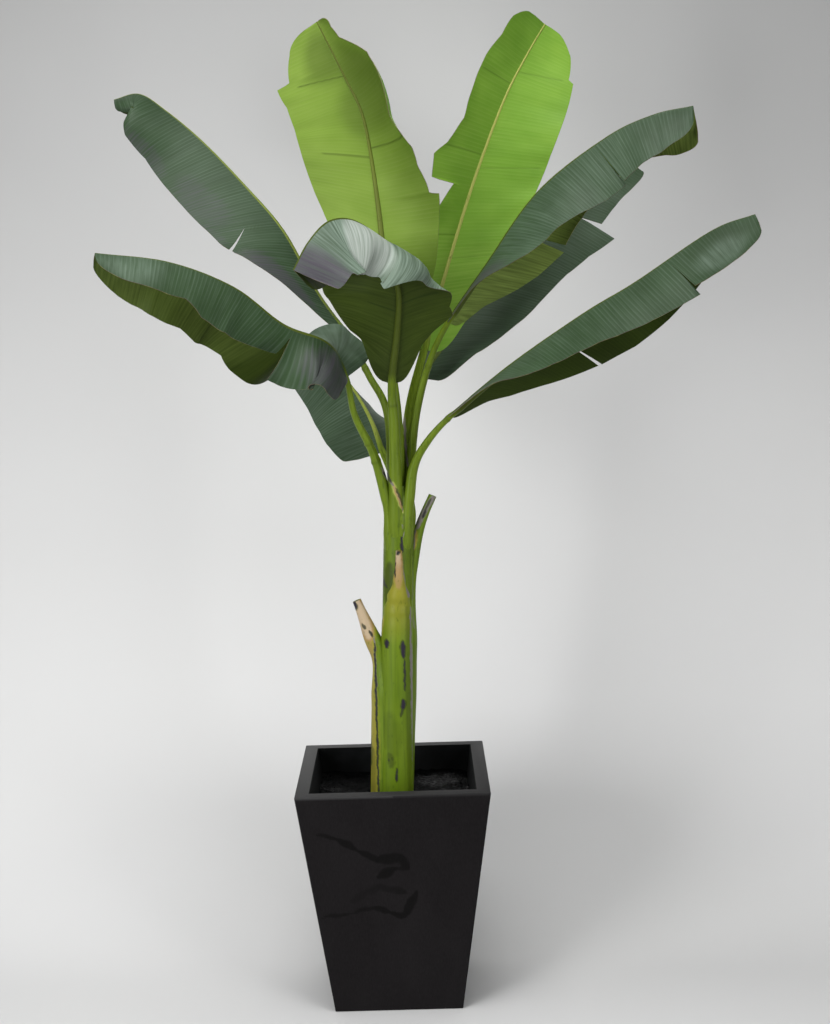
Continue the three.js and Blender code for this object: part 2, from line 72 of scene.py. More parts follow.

# Outer sheaths: centre line from the mix up, half widths and half depths at even stations, and
# the strokes drawn on their fronts by kind: x, z, end x, end z, half width, strength. Faint dark
# strokes are painted shade on the flanks and hollows; strong ones are scars and cracks.
SHEATHS = {}
SHEATHS["front_sheath"] = dict(
    path=[(3, -9, 0), (8, -9, 592), (14, -9, 731), (20, -11, 871), (25, -32, 940),
          (27, -42, 1010)],
    widths=(41, 40.5, 40, 39.5, 39, 38.5, 38, 37.5, 37, 36.5, 36, 35, 32.5, 26, 14, 9.5, 7),
    depths=(37, 37, 37, 36.5, 36, 36, 36, 35.5, 35, 35, 35, 34, 31, 24, 13, 8, 6),
    marks=dict(
        pale=((24, 1010, 23, 930, 15, (0.8, 0.56)), (22, 950, 18, 800, 32, (0.42, 0)),
              (-12, 900, -20, 800, 4, 0.5)),
        bruise=((38, 985, 46, 905, 7, 0.9), (-4, 915, -14, 880, 3, 0.8),
                (48, 880, 45, 470, 3.2, 1)),
        dark=((17, 1004, 16, 950, 2, 0.8), (30, 1009, 24, 1003, 3, 0.9),
              (-27, 880, -32, 450, 9, 0.13), (-5, 640, 5, 560, 22, 0.08),
              (-5, 555, -3, 525, 9, 0.2), (40, 880, 36, 450, 6, 0.1),
              (-6, 812, -6, 796, 4.5, 0.95), (29, 805, 30, 775, 6, 0.95),
              (32, 770, 31, 694, 2.2, 0.8), (28, 675, 27, 655, 5.5, 0.95),
              (26, 655, 21, 643, 3, 0.7), (-2, 546, -1, 542, 3, 0.6),
              (9, 522, 7, 492, 2.5, 0.9), (-9, 540, -9, 536, 2.5, 0.7))))
SHEATHS["left_sheath"] = dict(
    path=[(-17, 0, 0), (-12, 0, 600), (-15, -2, 740), (-42, -6, 820), (-70, -8, 896)],
    widths=(36, 36, 33, 20, 10), depths=(36, 36, 33, 18, 9),
    marks=dict(
        pale=((-70, 896, -46, 815, 26, 0.78), (-46, 815, -43, 750, 13, 0.5),
              (-43, 750, -44, 450, 14, 0.38)), bruise=((-33, 815, -33, 640, 3.5, 1),),
        dark=((-43, 560, -44, 455, 7, 0.14), (-76, 893, -72, 878, 6, 0.9),
              (-58, 842, -54, 834, 4, 0.7), (-44, 826, -38, 815, 3, 0.8),
              (-33, 800, -34, 450, 2.2, 0.9), (-50, 610, -48, 520, 2.5, 0.4))))
SHEATHS["right_sheath"] = dict(
    path=[(8, 6, 0), (26, 6, 700), (36, 5, 850), (57, 5, 985), (76, 7, 1060), (104, 8, 1124)],
    widths=(35, 33, 30, 14, 9), depths=(35, 33, 30, 14, 9),
    marks=dict(
        pale=((66, 1050, 58, 1010, 6, 0.5),),
        bruise=((70, 1060, 109, 1128, 9, 1), (64, 1057, 47, 950, 4, 1),
                (50, 910, 56, 830, 4, 0.7)),
        dark=((88, 1090, 82, 1075, 3, 0.9), (100, 1118, 84, 1084, 2.6, 0.7),
              (52, 985, 48, 915, 2.2, 0.8))))
# Marks on the stem itself, in the same form; its faint dark strokes are painted shade.
STEM_MARKS = dict(
    bruise=((37, 1110, 35, 1030, 2.4, 0.9), (-2, 1060, -6, 980, 6, 0.45)),
    dark=((34, 1042, 34, 1004, 3, 1), (4, 975, 0, 895, 14, 0.24), (-6, 1100, -12, 900, 12, 0.1),
          (60, 1100, 52, 900, 9, 0.12), (-12, 945, -2, 925, 4, 0.7)))
# The same on the stalks' feet, where they part.
FORK_MARKS = dict(
    pale=((18, 1158, 37, 1100, 4.5, 0.72),),
    bruise=((-6, 1192, 20, 1152, 5, 1), (44, 1340, 50, 1190, 3.5, 0.9),
            (38, 1100, 37, 1036, 2, 0.9)),
    dark=((24, 1150, 39, 1106, 1.8, 0.9), (-2, 1186, 14, 1162, 2, 0.9)))
# Smudges that hands and water left on the planter's front.
PLANTER_MARKS = dict(
    dark=((-165, 428, -124, 414, 7, 0.8), (-124, 414, -78, 388, 8, 0.85),
          (-78, 388, -34, 360, 9, 0.85), (-34, 360, 14, 370, 15, 0.95),
          (14, 370, 28, 344, 13, 0.95), (-35, 324, 0, 340, 13, 0.95), (0, 340, 28, 341, 8, 0.8),
          (-160, 229, -94, 239, 7, 0.85), (-94, 239, -50, 249, 9, 0.85),
          (-50, 249, -14, 239, 9, 0.85), (-14, 239, 19, 230, 9, 0.9),
          (19, 230, 44, 282, 11, 0.9), (-95, 268, -35, 300, 16, 0.62),
          (-35, 300, 20, 285, 13, 0.62)))

# Leaves: see `Leaf` for what each value means.
LEAVES = {}
LEAVES["upright_left"] = dict(
    path=[(32, -6, 1152), (31, -18, 1295), (18, -25, 1458), (12, -30, 1636), (0, -25, 1788),
          (-22, -10, 1939), (-60, 0, 2029), (-116, 10, 2146)], blade_from=2, across=(-1, 0, 0),
    stalk=(13, 9), skin="young", rib=0.4, painted_shade=0.16,
    right=dict(
        width=165, foot=0.7, tip=0.42, rise=(25, 10, 5, 10), curl=(10, 10, 5, 0), sweep=0.15,
        edge=((0, 0.92), (0.572, 0.91), (0.786, 0.92), (0.859, 1.04), (0.863, 0.83),
              (0.946, 0.86), (1, 1)),
        creases=((0.82, 0, 0.7, 0.03, 0.6), (0.562, 0, 0.7, 0, 0.6)),
        # Dark marks: painted shade where the blade folds away from the light.
        dark=((0.7, 0.05, 75, 0.35, 0.22), (0.9, 0.25, 75, 0.5, 0.36))),
    left=dict(
        width=140, foot=0.6, tip=0.5, rise=(25, -5, -30, -35), curl=(10, -20, -80, -40),
        sweep=0,
        edge=((0, 1), (0.363, 1.02), (0.422, 1.08), (0.427, 0.92), (0.5, 0.96), (0.545, 1.1),
              (0.636, 1.08), (0.727, 1.22), (0.818, 1.18), (0.86, 0.92), (0.92, 0.5),
              (0.96, 0.55), (1, 1)), creases=((0.59, 0, 0.98, -0.01, 0.6),),
        # Dark mark: painted shade beside the midrib, where the blade folds away from the light.
        dark=((0.76, 0.3, 130, 0.8, 0.34),)))
LEAVES["upright_right"] = dict(
    path=[(38, 12, 1152), (59, 25, 1313), (94, 45, 1443), (150, 70, 1623), (214, 100, 1810),
          (284, 130, 1982), (338, 150, 2082), (382, 165, 2152)], blade_from=2, across=(1, 0, 0),
    stalk=(13, 9), skin="young", rib=1.1, proud=2.6,
    # The pale marks at the foot of both halves are painted light on the part that lies in shade
    # behind the front leaf.
    right=dict(
        width=150, foot=0.4, tip=0.45, rise=(0, 5, 5, 0), curl=(0, 5, 5, 0),
        edge=((0, 0.9), (0.4, 0.9), (0.6, 0.98), (0.8, 1.1), (0.868, 1.13), (0.872, 1.02),
              (0.95, 1.1), (1, 1)), blunt=20, pale=((0.1, 0.5, 230, 1.5, 0.6),),
        creases=((0.84, 0, 0.8, 0.03, 0.25), (0.54, 0, 0.9, 0.02, 0.22), (0.27, 0, 0.7, 0, 0.2))),
    left=dict(
        width=98, foot=0.4, tip=0.3, rise=(32, 40, 38, 32), curl=(8, 8, 8, 8), sweep=-0.06,
        edge=((0, 1), (0.31, 1.05), (0.36, 1.08), (0.42, 0.8), (0.484, 0.54), (0.488, 1.2),
              (0.55, 1.3), (0.585, 1.06), (0.66, 0.88), (0.74, 0.97), (0.83, 1.03), (0.9, 1),
              (0.957, 1.1), (1, 1)), blunt=30, pale=((0.1, 0.5, 300, 1.5, 0.6),),
        creases=((0.58, 0, 0.95, 0, 0.3), (0.8, 0, 0.9, 0, 0.25), (0.34, 0, 0.9, 0, 0.3))))
LEAVES["front"] = dict(
    path=[(23, -30, 1140), (24, -45, 1275), (22, -60, 1376), (36, -95, 1481), (42, -150, 1575),
          (16, -220, 1665), (-38, -285, 1712), (-88, -330, 1712), (-128, -362, 1672),
          (-158, -385, 1618)], blade_from=2,
    across=[(-1, 0, 0), (-1, 0, 0), (-1, 0, 0), (-1, 0, 0), (-0.95, 0.1, 0.15),
            (-0.8, 0.5, 0.3), (-0.72, 0.5, 0.4), (-0.3, 0.5, 0.8), (-0.3, 0.4, 0.7)],
    stalk=(15, 9), bloom=0.86, rib=0.1, painted_shade=0.25, rings=(0.218,),
    right=dict(
        width=185, foot=0.55, tip=0.45, rise=(20, 0, 5, -60, -115, -110),
        curl=(0, 0, -10, -20, -10, 0), blunt=50,
        edge=((0, 1), (0.35, 1), (0.5, 0.9), (0.8, 0.5), (1, 1)),
        tears=[dict(at=0.42, root=0.4, gap=0.04)], lifts=(-20, 10),
        bruise=((0.5, 0.9, 110, 0.45, 1), (0.85, 0.7, 120, 1, 1)),
        creases=((0.26, 0, 0.4, 0, 0.7),)),
    left=dict(
        width=150, foot=0.45, tip=0.12, rise=(20, 22, 38, 8, -10, -10),
        curl=(0, -30, -115, -115, -20, -10), blunt=70,
        edge=((0, 1), (0.1, 1.05), (0.17, 1.22), (0.22, 1.02), (0.38, 1.08), (0.43, 1.2),
              (0.54, 1.24), (0.56, 0.93), (0.66, 0.9), (0.72, 0.82), (0.86, 0.82), (0.92, 0.72),
              (1, 0.75)), tears=[dict(at=0.55, root=0.5, gap=0)], lifts=(0, 10),
        # The pale mark is a painted sheen on the drooping hood.
        pale=((0.66, 0.6, 130, 1.6, 1),), bruise=((0.98, 0.5, 80, 1.5, 1),),
        creases=((0.29, 0, 0.7, 0, 0.7), (0.82, 0, 1, 0, 0.25))))
LEAVES["right_upper"] = dict(
    path=[(49, 0, 1152), (70, 4, 1302), (102, 2, 1417), (145, 0, 1503), (228, -5, 1620),
          (344, -25, 1775), (486, -60, 1881), (583, -90, 1923), (664, -110, 1937)],
    blade_from=3, across=(0, -1, 0), bloom=0.22, rib=0, proud=0.6, painted_shade=0.25, rings=(0.243,),
    right=dict(
        width=140, foot=0.4, tip=0.3, rise=(0, -25, -40, -35), curl=(0, -15, -20, -30),
        edge=((0, 0.8), (0.1, 0.9), (0.3, 1), (0.6, 1), (0.8, 0.95), (1, 1)),
        tears=[dict(at=0.69, root=0.07, gap=0.004)], lifts=(-8, 12),
        bruise=((0.1, 0.5, 110, 0.8, 0.8),)),
    left=dict(
        width=140, foot=0.25, tip=0.3, rise=(-60, -75, -60, -70), curl=(0, -10, -30, -10),
        edge=((0, 0.45), (0.1, 0.72), (0.2, 0.88), (0.328, 0.95), (0.332, 0.92), (0.46, 0.82),
              (0.6, 0.74), (0.75, 0.6), (0.85, 0.75), (0.94, 0.9), (1, 1)), blunt=55,
        # The pale mark is painted light on this half's underside, which is lit from behind.
        pale=((0.4, 0.7, 1100, 3, 1),), tears=[dict(at=0.33, root=0.3, gap=0.03)],
        lifts=(0, -50)))
LEAVES["right_lower"] = dict(
    path=[(50, -20, 1120), (62, -24, 1190), (88, -38, 1242), (143, -60, 1303),
          (270, -100, 1409), (427, -150, 1517), (531, -175, 1578), (684, -200, 1677),
          (772, -210, 1708)], blade_from=3, across=(0, -1, 0), stalk=(15, 9), bloom=0.06, rib=0,
    proud=0.6, painted_shade=0.25, rings=(0.213,),
    right=dict(
        width=140, foot=0.5, tip=0.35, rise=(0, -15, -30, -35), curl=(0, -15, -20, -20),
        edge=((0, 1), (0.5, 0.96), (0.6, 0.9), (0.738, 0.98), (0.742, 0.9), (0.85, 1.02),
              (0.93, 1.05), (1, 1)), blunt=24, tears=[dict(at=0.74, root=0.12, gap=0.004)],
        lifts=(0, 28), pale=((0.87, 0.65, 95, 0.45, 0.55),)),
    left=dict(
        width=108, foot=0.3, tip=0.5, rise=(-50, -70, -60, -50), curl=(0, -20, -30, 0),
        edge=((0, 0.4), (0.1, 0.75), (0.2, 0.85), (0.37, 1.06), (0.5, 1.15), (0.62, 1.12),
              (0.8, 1), (1, 1)), tears=[dict(at=0.37, root=0.35, gap=0.012)], lifts=(0, -5)))
LEAVES["right_back"] = dict(
    path=[(43, 25, 1130), (55, 65, 1270), (86, 105, 1378), (202, 180, 1518), (347, 260, 1655),
          (495, 330, 1785), (615, 380, 1848)], blade_from=2, across=(0.5, -0.8, 0), bloom=0.2,
    rib=0.2, proud=0.8, painted_shade=0.2,
    right=dict(
        width=115, foot=0.25, tip=0.6, rise=(-20, -30, -40, -30), curl=(0, -10, -10, 0),
        edge=((0, 1), (0.5, 1), (0.6, 1.12), (0.718, 1.45), (0.722, 0.9), (0.85, 0.9), (1, 1)),
        blunt=20, tears=[dict(at=0.72, root=0.3, gap=0.03)]),
    left=dict(
        width=140, foot=0.4, tip=0.4, rise=(0, 0, 0, 0), curl=(0, -30, -30, 0),
        edge=((0, 1), (0.7, 1), (0.8, 1.25), (0.88, 1.4), (0.95, 1.1), (1, 1)),
        roll=(0, 0, 0, 0, 90, 60)))
LEAVES["left_upper"] = dict(
    path=[(19, 10, 1152), (11, 25, 1310), (-27, 50, 1391), (-76, 80, 1484), (-139, 120, 1576),
          (-214, 170, 1715), (-301, 220, 1820), (-401, 260, 1927), (-486, 285, 2001),
          (-546, 298, 2040), (-604, 292, 2028)], blade_from=3, across=(0, 1, 0), bloom=0.08,
    rib=0.35, proud=1, painted_shade=0.12, rings=(0.263, 0.226),
    right=dict(width=140, foot=0.4, tip=0.3, rise=(0, -12, -22, -20), curl=(0, -10, -10, -10)),
    left=dict(
        width=150, foot=0.35, tip=0.5, rise=(-30, -50, -60, -20), curl=(0, -10, -10, -10),
        roll=(0, 0, 0, 0, 0, -60, -110), tears=[dict(at=0.27, root=0.5, gap=0.012, slant=0.2)],
        lifts=(-12, 0),
        edge=((0, 0.5), (0.1, 0.62), (0.2, 0.85), (0.268, 0.98), (0.272, 1.04), (0.75, 1.02),
              (0.84, 1.14), (0.9, 1), (1, 1)), blunt=36,
        bruise=((0.16, 0.8, 130, 0.5, 0.85), (0.5, 0.75, 150, 0.45, 0.55),
                (0.35, 1, 150, 0.2, 0.5), (0.75, 0.95, 130, 0.3, 0.6)),
        creases=((0.36, 0.25, 0.55, 0, 0.4),)))
LEAVES["left_lower"] = dict(
    path=[(7, -20, 1110), (-20, -38, 1222), (-57, -63, 1311), (-73, -85, 1394),
          (-108, -105, 1468), (-199, -140, 1511), (-295, -190, 1590), (-419, -240, 1643),
          (-560, -280, 1664)], blade_from=3,
    across=[(0.6, 0.8, 0), (0, 1, 0), (0, 1, 0), (0, 1, 0), (0, 1, 0)], bloom=0.05, rib=0.1,
    proud=0.7, painted_shade=0.25, rings=(0.158, 0.11),
    right=dict(
        width=150, foot=0.25, tip=0.4, lobe=0.08,
        rise=(45, 20, -30, -55, -60, -60, -60, -60, -60, -55, -50, -45, -40),
        curl=(0, -30, -30, 0),
        edge=((0, 1), (0.1, 1.1), (0.2, 1.2), (0.28, 1.08), (0.33, 0.95), (0.42, 0.98),
              (0.5, 1), (0.6, 0.92), (0.7, 0.96), (0.8, 1), (0.9, 1.1), (1, 1)), blunt=20,
        pale=((0.65, 0.5, 500, 3, 0.885),)),
    left=dict(
        width=140, foot=0.22, tip=0.4, lobe=0.14,
        rise=(0, -10, -34, -54, -42, -39, -36, -33, -30, -30, -30, -30, -30),
        curl=(0, -5, -10, 0),
        edge=((0, 1.2), (0.08, 1.2), (0.167, 1.08), (0.25, 0.95), (0.268, 0.95), (0.272, 0.5),
              (0.34, 0.72), (0.42, 0.88), (0.5, 0.98), (0.6, 1), (0.68, 0.82), (0.75, 0.95),
              (0.85, 1), (1, 1)), tears=[dict(at=0.27, root=0.25, gap=0.02)], lifts=(-30, 0),
        pale=((0.88, 0.5, 90, 0.8, 0.4),), bruise=((0.1, 0.6, 105, 0.7, 0.85),)))
LEAVES["left_back"] = dict(
    path=[(29, 28, 1110), (16, 60, 1170), (-4, 90, 1215), (-28, 130, 1284), (-66, 180, 1350),
          (-114, 240, 1405), (-175, 300, 1450), (-205, 330, 1440)], blade_from=2,
    across=[(1, 0.2, 0), (0.9, 0.5, 0), (0.7, 0.7, 0)], stalk=(13, 8), bloom=0.3, rib=0.5,
    right=dict(width=90, foot=0.25, tip=0.4, rise=(-20, -40, -50, -40), curl=(0, -10, -10, 0)),
    left=dict(
        width=125, foot=0.25, tip=0.4, lobe=0.12, rise=(-20, -50, -60, -40),
        curl=(0, -10, -10, 0)))


# ---- numbers and curves ----
def lerp(start, end, share):
    return start + (end - start) * share


def smoothstep(value, low, high):
    share = np.clip((value - low) / (high - low), 0, 1)
    return share * share * (3 - 2 * share)


def keyed(values, share):
    """Values (numbers or vectors) given at even stations from 0 to 1, eased between them."""
    values = np.asarray(values, float)
    place = np.clip(np.asarray(share, float), 0, 1) * (len(values) - 1)
    index = np.minimum(place.astype(int), len(values) - 2)
    ease = smoothstep(place - index, 0, 1)
    ease = ease.reshape(ease.shape + (1,) * (values.ndim - 1))
    return lerp(values[index], values[index + 1], ease)


def unit(vectors):
    return vectors / np.linalg.norm(vectors, axis=-1, keepdims=True)


def column(values):
    return np.asarray(values, float)[:, None]


def waves(points, seed):
    """Smooth noise from -1 to 1 at each point."""
    shift = Vector((seed * 7.3, seed * 3.1, seed * 5.7))
    return np.array([noise.noise(Vector(point) + shift) for point in points])


class FramedPath:
    """A curved line with a direction to its right, the one that the solids follow."""

    def __init__(self, points, across):
        points = np.array(points, float)
        self.spans = len(points) - 1
        self.padded = np.vstack([2 * points[0] - points[1], points,
                                 2 * points[-1] - points[-2]])
        # One direction stands for the whole length.
        across = [across, across] if np.ndim(across) == 1 else across
        self.across = np.array(across, float)
        self.places = np.linspace(0, 1, CURVE_DIVISIONS * self.spans + 1)
        steps = np.linalg.norm(np.diff(self.curve(self.places), axis=0), axis=1)
        self.lengths = np.concatenate([[0], np.cumsum(steps)])
        self.length = self.lengths[-1]

    def curve(self, place):
        spot = np.clip(place, 0, 1) * self.spans
        index = np.minimum(spot.astype(int), self.spans - 1)
        w = column(spot - index)
        before, start, end, after = (self.padded[index + k] for k in range(4))
        leaving, entering = (end - before) / 2, (after - start) / 2
        return (start + leaving * w + (3 * (end - start) - 2 * leaving - entering) * w ** 2
                + (2 * (start - end) + leaving + entering) * w ** 3)

    def share_of(self, index):
        return self.lengths[round(index / self.spans * (len(self.lengths) - 1))] / self.length

    def at(self, share):
        """Point, direction, right and up at each share of the length."""
        share = np.clip(np.asarray(share, float), 0, 1)
        place = np.interp(share * self.length, self.lengths, self.places)
        step = 1e-4
        along = unit(self.curve(place + step) - self.curve(place - step))
        across = keyed(self.across, share)
        across = unit(across - along * column((across * along).sum(1)))
        return self.curve(place), along, across, np.cross(across, along)


class Leaf:
    """One leaf, from the fork along its stalk and midrib to its tip, in millimetres and degrees.

    The leaf: `path` and `across` are its centre line and the direction to its right, and the
    blade starts at path point `blade_from`. `stalk` is the stalk's half width at both ends,
    `bloom` and `rib` how waxy the blade and how pale the midrib is, `proud` how far the midrib
    stands off below, `painted_shade` how much painted shade darkens the midrib along the blade,
    and
    `rings` where old rings swell the stalk.

    Each half: `width`, its outline's exponents `foot` and `tip`, `blunt` for a tip's half width
    and `edge` for how far the margin stands out or in at shares of the length. It leaves the
    midrib at `rise`, to which the margin adds `curl` and its last part `roll`, positive towards
    the upper side. `sweep` leans its veins, `lobe` turns them back at the foot.

    A tear runs in from the margin at share `at` to reach `root`, opens by `gap` and leans by
    `slant`; `lifts` turn the strips between tears. `creases` are share, reach from, reach to,
    slant, strength; each dents the blade and draws a line of painted shade along it. `dark`,
    `bruise` and `pale` marks are share, reach, half length, spread over the reach, strength.
    Dark marks are painted shade where the blade folds from the light; pale marks add bloom, and
    above .85 a painted sheen.
    """

    def __init__(self, name, path, blade_from, across, right, left, stalk=(14, 9),
                 skin="mature", **details):
        self.name = name
        self.path = FramedPath(path, across)
        self.blade_share = self.path.share_of(blade_from)
        self.blade_length = self.path.length * (1 - self.blade_share)
        self.stalk = stalk
        self.skin = skin
        self.halves = {1: right, -1: left}
        self.details = details
        self.seed = len(name) + sum(map(ord, name)) % 97

    def strips(self, side):
        half = self.halves[side]
        tears = half.get("tears", [])
        lifts = half.get("lifts", (0,) * (len(tears) + 1))
        whole = dict(root=1)
        first = {**(tears[0] if tears else whole), "at": 0, "gap": 0, "slant": 0}
        last = {**(tears[-1] if tears else whole), "at": 1, "gap": 0, "slant": 0}
        cuts = [first, *tears, last]
        return [dict(start=start, end=end, lift=lift)
                for start, end, lift in zip(cuts, cuts[1:], lifts)]

    def half_width(self, half, share):
        share = np.clip(share, 0, 1)
        foot, tip = half["foot"], half["tip"]
        widest = foot / (foot + tip)
        peak = widest ** foot * (1 - widest) ** tip
        outline = share ** foot * (1 - share) ** tip / peak
        blunt = lerp(TIP_HALF_WIDTH, half.get("blunt", TIP_HALF_WIDTH), share)
        return lerp(blunt, half["width"], outline) * self.edge(half, share)

    def edge(self, half, share):
        """How far the margin stands out or in of the plain outline, 1 where it follows it."""
        stations = np.array(half.get("edge", ((0, 1), (1, 1))), float)
        return np.interp(share, *stations.T)

    def wear_and_shading(self, side, share, reach):
        """How dark, how bruised and how pale the blade is at each point, from 0 to 1."""
        half = self.halves[side]
        shares = np.zeros((len(share), 3))
        # Each crease darkens a narrow line along the fold: painted shade.
        for at, start, end, slant, strength in half.get("creases", ()):
            off = (share - at - slant * reach) * self.blade_length / CREASE_WIDTH
            inside = (reach >= start) & (reach <= end)
            shares[:, 0] = np.maximum(shares[:, 0], strength * np.exp(-off ** 2) * inside)
        for channel, kind in enumerate(WEAR_AND_SHADING):
            for at, out, length, spread, strength in half.get(kind, ()):
                off = np.hypot((share - at) * self.blade_length / length,
                               (reach - out) / spread)
                mark = strength * (1 - smoothstep(off, *MARK_FADE))
                shares[:, channel] = np.maximum(shares[:, channel], mark)
        return shares

    def surface(self, side, strip, within, reach):
        """Points, upward normals and shares along, by place within the strip and reach out."""
        half = self.halves[side]
        start, end = strip["start"], strip["end"]
        share = lerp(*(cut["at"] + cut.get("slant", 0) * (1 - reach) for cut in (start, end)),
                     within)
        root = lerp(start["root"], end["root"], within)

        def torn(reach):
            return np.clip((reach - root) / np.maximum(1 - root, 1e-6), 0, 1)

        def turned(reach):
            return np.radians(rise + (curl + strip["lift"] * torn(reach)) * reach
                              + roll * reach ** ROLL_POWER)

        closed = lerp(start["gap"], -end["gap"], within) / 2
        rooted = np.clip(share + closed * torn(reach), 0, 1)
        back = half.get("lobe", 0) * (1 - smoothstep(rooted, 0, LOBE_END))
        grown = smoothstep(rooted, 0, SWEEP_START)
        sweep = half.get("sweep", VEIN_SWEEP) * (1 - rooted)
        swept = rooted + (sweep - back) * grown * reach * self.edge(half, rooted)
        point, _, across, up = self.path.at(lerp(self.blade_share, 1, swept))
        width = self.half_width(half, rooted)
        rise, curl = keyed(half["rise"], share), keyed(half["curl"], share)
        roll = keyed(half.get("roll", (0, 0)), share)
        steps = (np.arange(ARC_STEPS) + 0.5) / ARC_STEPS
        angles = np.stack([turned(reach * step) for step in steps])
        out = np.cos(angles).mean(0) * width * reach
        lift = np.sin(angles).mean(0) * width * reach
        angle = turned(reach)
        normal = up * column(np.cos(angle)) - across * column(side * np.sin(angle))
        return point + across * column(side * out) + up * column(lift), normal, share


PLANT = {name: Leaf(name, **spec) for name, spec in LEAVES.items()}


# ---- settings a user would change ----
def linear(code):
    """An sRGB hex colour as linear red, green, blue."""
    parts = [int(code[i:i + 2], 16) / 255 for i in (1, 3, 5)]
    return tuple(p / 12.92 if p <= 0.04045 else ((p + 0.055) / 1.055) ** 2.4 for p in parts)


def size(name, description, default):
    return bpy.props.FloatProperty(name=name, description=description, default=default,
                                   unit="LENGTH", subtype="DISTANCE", precision=4)


def colour(name, description, default):
    return bpy.props.FloatVectorProperty(name=name, description=description, size=3,
                                         subtype="COLOR", default=linear(default),
                                         min=0, max=1)


class PlanterSettings(bpy.types.PropertyGroup):
    rim_width: size("Rim width", "Outer width at the rim", 0.420)
    foot_width: size("Foot width", "Outer width at the underside", 0.282)
    height: size("Height", "From the floor to the rim", 0.510)
    wall: size("Wall", "Width of the flat rim", 0.032)
    edge: size("Edge", "Radius of the worn outer edges", 0.0022)
    mix_depth: size("Mix depth", "How far the fill lies under the rim", 0.058)
    lump: size("Lumps", "Height of the folds in the fill", 0.007)
    body: colour("Body", "The planter's charcoal", "#131112")
    fill: colour("Fill", "The dark wet fill", "#030404")


class StemSettings(bpy.types.PropertyGroup):
    step: size("Sheath step", "How far one sheath's margin stands off the next", 0.0022)
    green: colour("Green", "Stem and stalks", "#587011")
    deep: colour("Deep green", "Their shaded flanks", "#455a16")
    ripe: colour("Ripe", "Sheaths that start to dry", "#8f8c2c")
    dry: colour("Dry", "Cut and dried ends", "#a5875a")
    scar: colour("Scar", "Blotches and cracks", "#292530")


class LeafSettings(bpy.types.PropertyGroup):
    thickness: size("Thickness", "Of a blade", 0.0010)
    vein_gap: size("Vein gap", "Between the stronger side veins", 0.0085)
    ruffle: size("Ruffle", "Height of the slow waves at the margin", 0.006)
    young_upper: colour("Young, upper", "Upper side of a young blade", "#8bb841")
    young_under: colour("Young, under", "Underside of a young blade", "#98b64c")
    mature_upper: colour("Mature, upper", "Upper side of a grown blade", "#304629")
    mature_under: colour("Mature, under", "Underside of a grown blade", "#344609")
    midrib: colour("Midrib", "The pale rib", "#a9b058")
    margin: colour("Margin", "The thin dry edge", "#5d4a45")


class StageSettings(bpy.types.PropertyGroup):
    paper: colour("Paper", "Floor and backdrop", "#d2d2d1")
    backdrop: size("Backdrop", "Distance behind the planter", 0.95)


class BananaPlantSettings(bpy.types.PropertyGroup):
    planter: bpy.props.PointerProperty(type=PlanterSettings)
    stem: bpy.props.PointerProperty(type=StemSettings)
    leaf: bpy.props.PointerProperty(type=LeafSettings)
    stage: bpy.props.PointerProperty(type=StageSettings)


def settings():
    return bpy.context.scene.banana_plant


# ---- meshes ----
def only(*pieces):
    """Selects these pieces and no other, the first one active."""
    bpy.ops.object.select_all(action="DESELECT")
    for piece in pieces:
        piece.select_set(True)
    bpy.context.view_layer.objects.active = pieces[0]


def edit(piece, mode="VERT"):
    only(piece)
    bpy.ops.object.mode_set(mode="EDIT")
    bpy.ops.mesh.select_mode(type=mode)
    bpy.ops.mesh.select_all(action="SELECT")


def done():
    bpy.ops.object.mode_set(mode="OBJECT")


def apply(piece, kind, **values):
    only(piece)
    bpy.ops.object.modifier_add(type=kind)
    modifier = piece.modifiers[-1]
    for key, value in values.items():
        setattr(modifier, key, value)
    bpy.ops.object.modifier_apply(modifier=modifier.name)


def vertices(piece):
    flat = np.empty(len(piece.data.vertices) * 3)
    piece.data.vertices.foreach_get("co", flat)
    return flat.reshape(-1, 3)


def grid(name, columns, rows, place):
    """A grid whose vertices `place` moves from (column share, row share) to their points, in
    millimetres. It gives each vertex's pattern coordinates and its wear and painted shading too."""
    bpy.ops.object.select_all(action="DESELECT")
    bpy.ops.mesh.primitive_grid_add(x_subdivisions=columns, y_subdivisions=rows, size=1,
                                    location=(0, 0, 0))
    piece = bpy.context.object
    mesh = piece.data
    piece.name = mesh.name = name
    flat = vertices(piece) + 0.5
    points, pattern, wear_and_shading = place(np.round(flat[:, 0], 6), np.round(flat[:, 1], 6))
    mesh.vertices.foreach_set("co", (points * MM).ravel())
    loops = np.empty(len(mesh.loops), int)
    mesh.loops.foreach_get("vertex_index", loops)
    mesh.uv_layers[0].name = "growth"
    mesh.uv_layers[0].data.foreach_set("uv", pattern[loops].astype(np.float32).ravel())
    keep_wear_and_shading(piece, wear_and_shading)
    mesh.update()
    return piece


def keep_wear_and_shading(piece, wear_and_shading):
    """Keeps each vertex's wear and painted shading, how dark, bruised and pale it is, with the
    mesh.
    """
    layer = piece.data.color_attributes.get("wear_and_shading")
    layer = layer or piece.data.color_attributes.new("wear_and_shading", "FLOAT_COLOR", "POINT")
    colours = np.ones((len(piece.data.vertices), 4), np.float32)
    colours[:, :3] = np.clip(wear_and_shading, 0, 1)
    layer.data.foreach_set("color", colours.ravel())


def joined(name, pieces, weld):
    only(*pieces)
    if len(pieces) > 1:
        bpy.ops.object.join()
    piece = bpy.context.object
    piece.name = piece.data.name = name
    edit(piece)
    bpy.ops.mesh.remove_doubles(threshold=weld)
    done()
    return piece


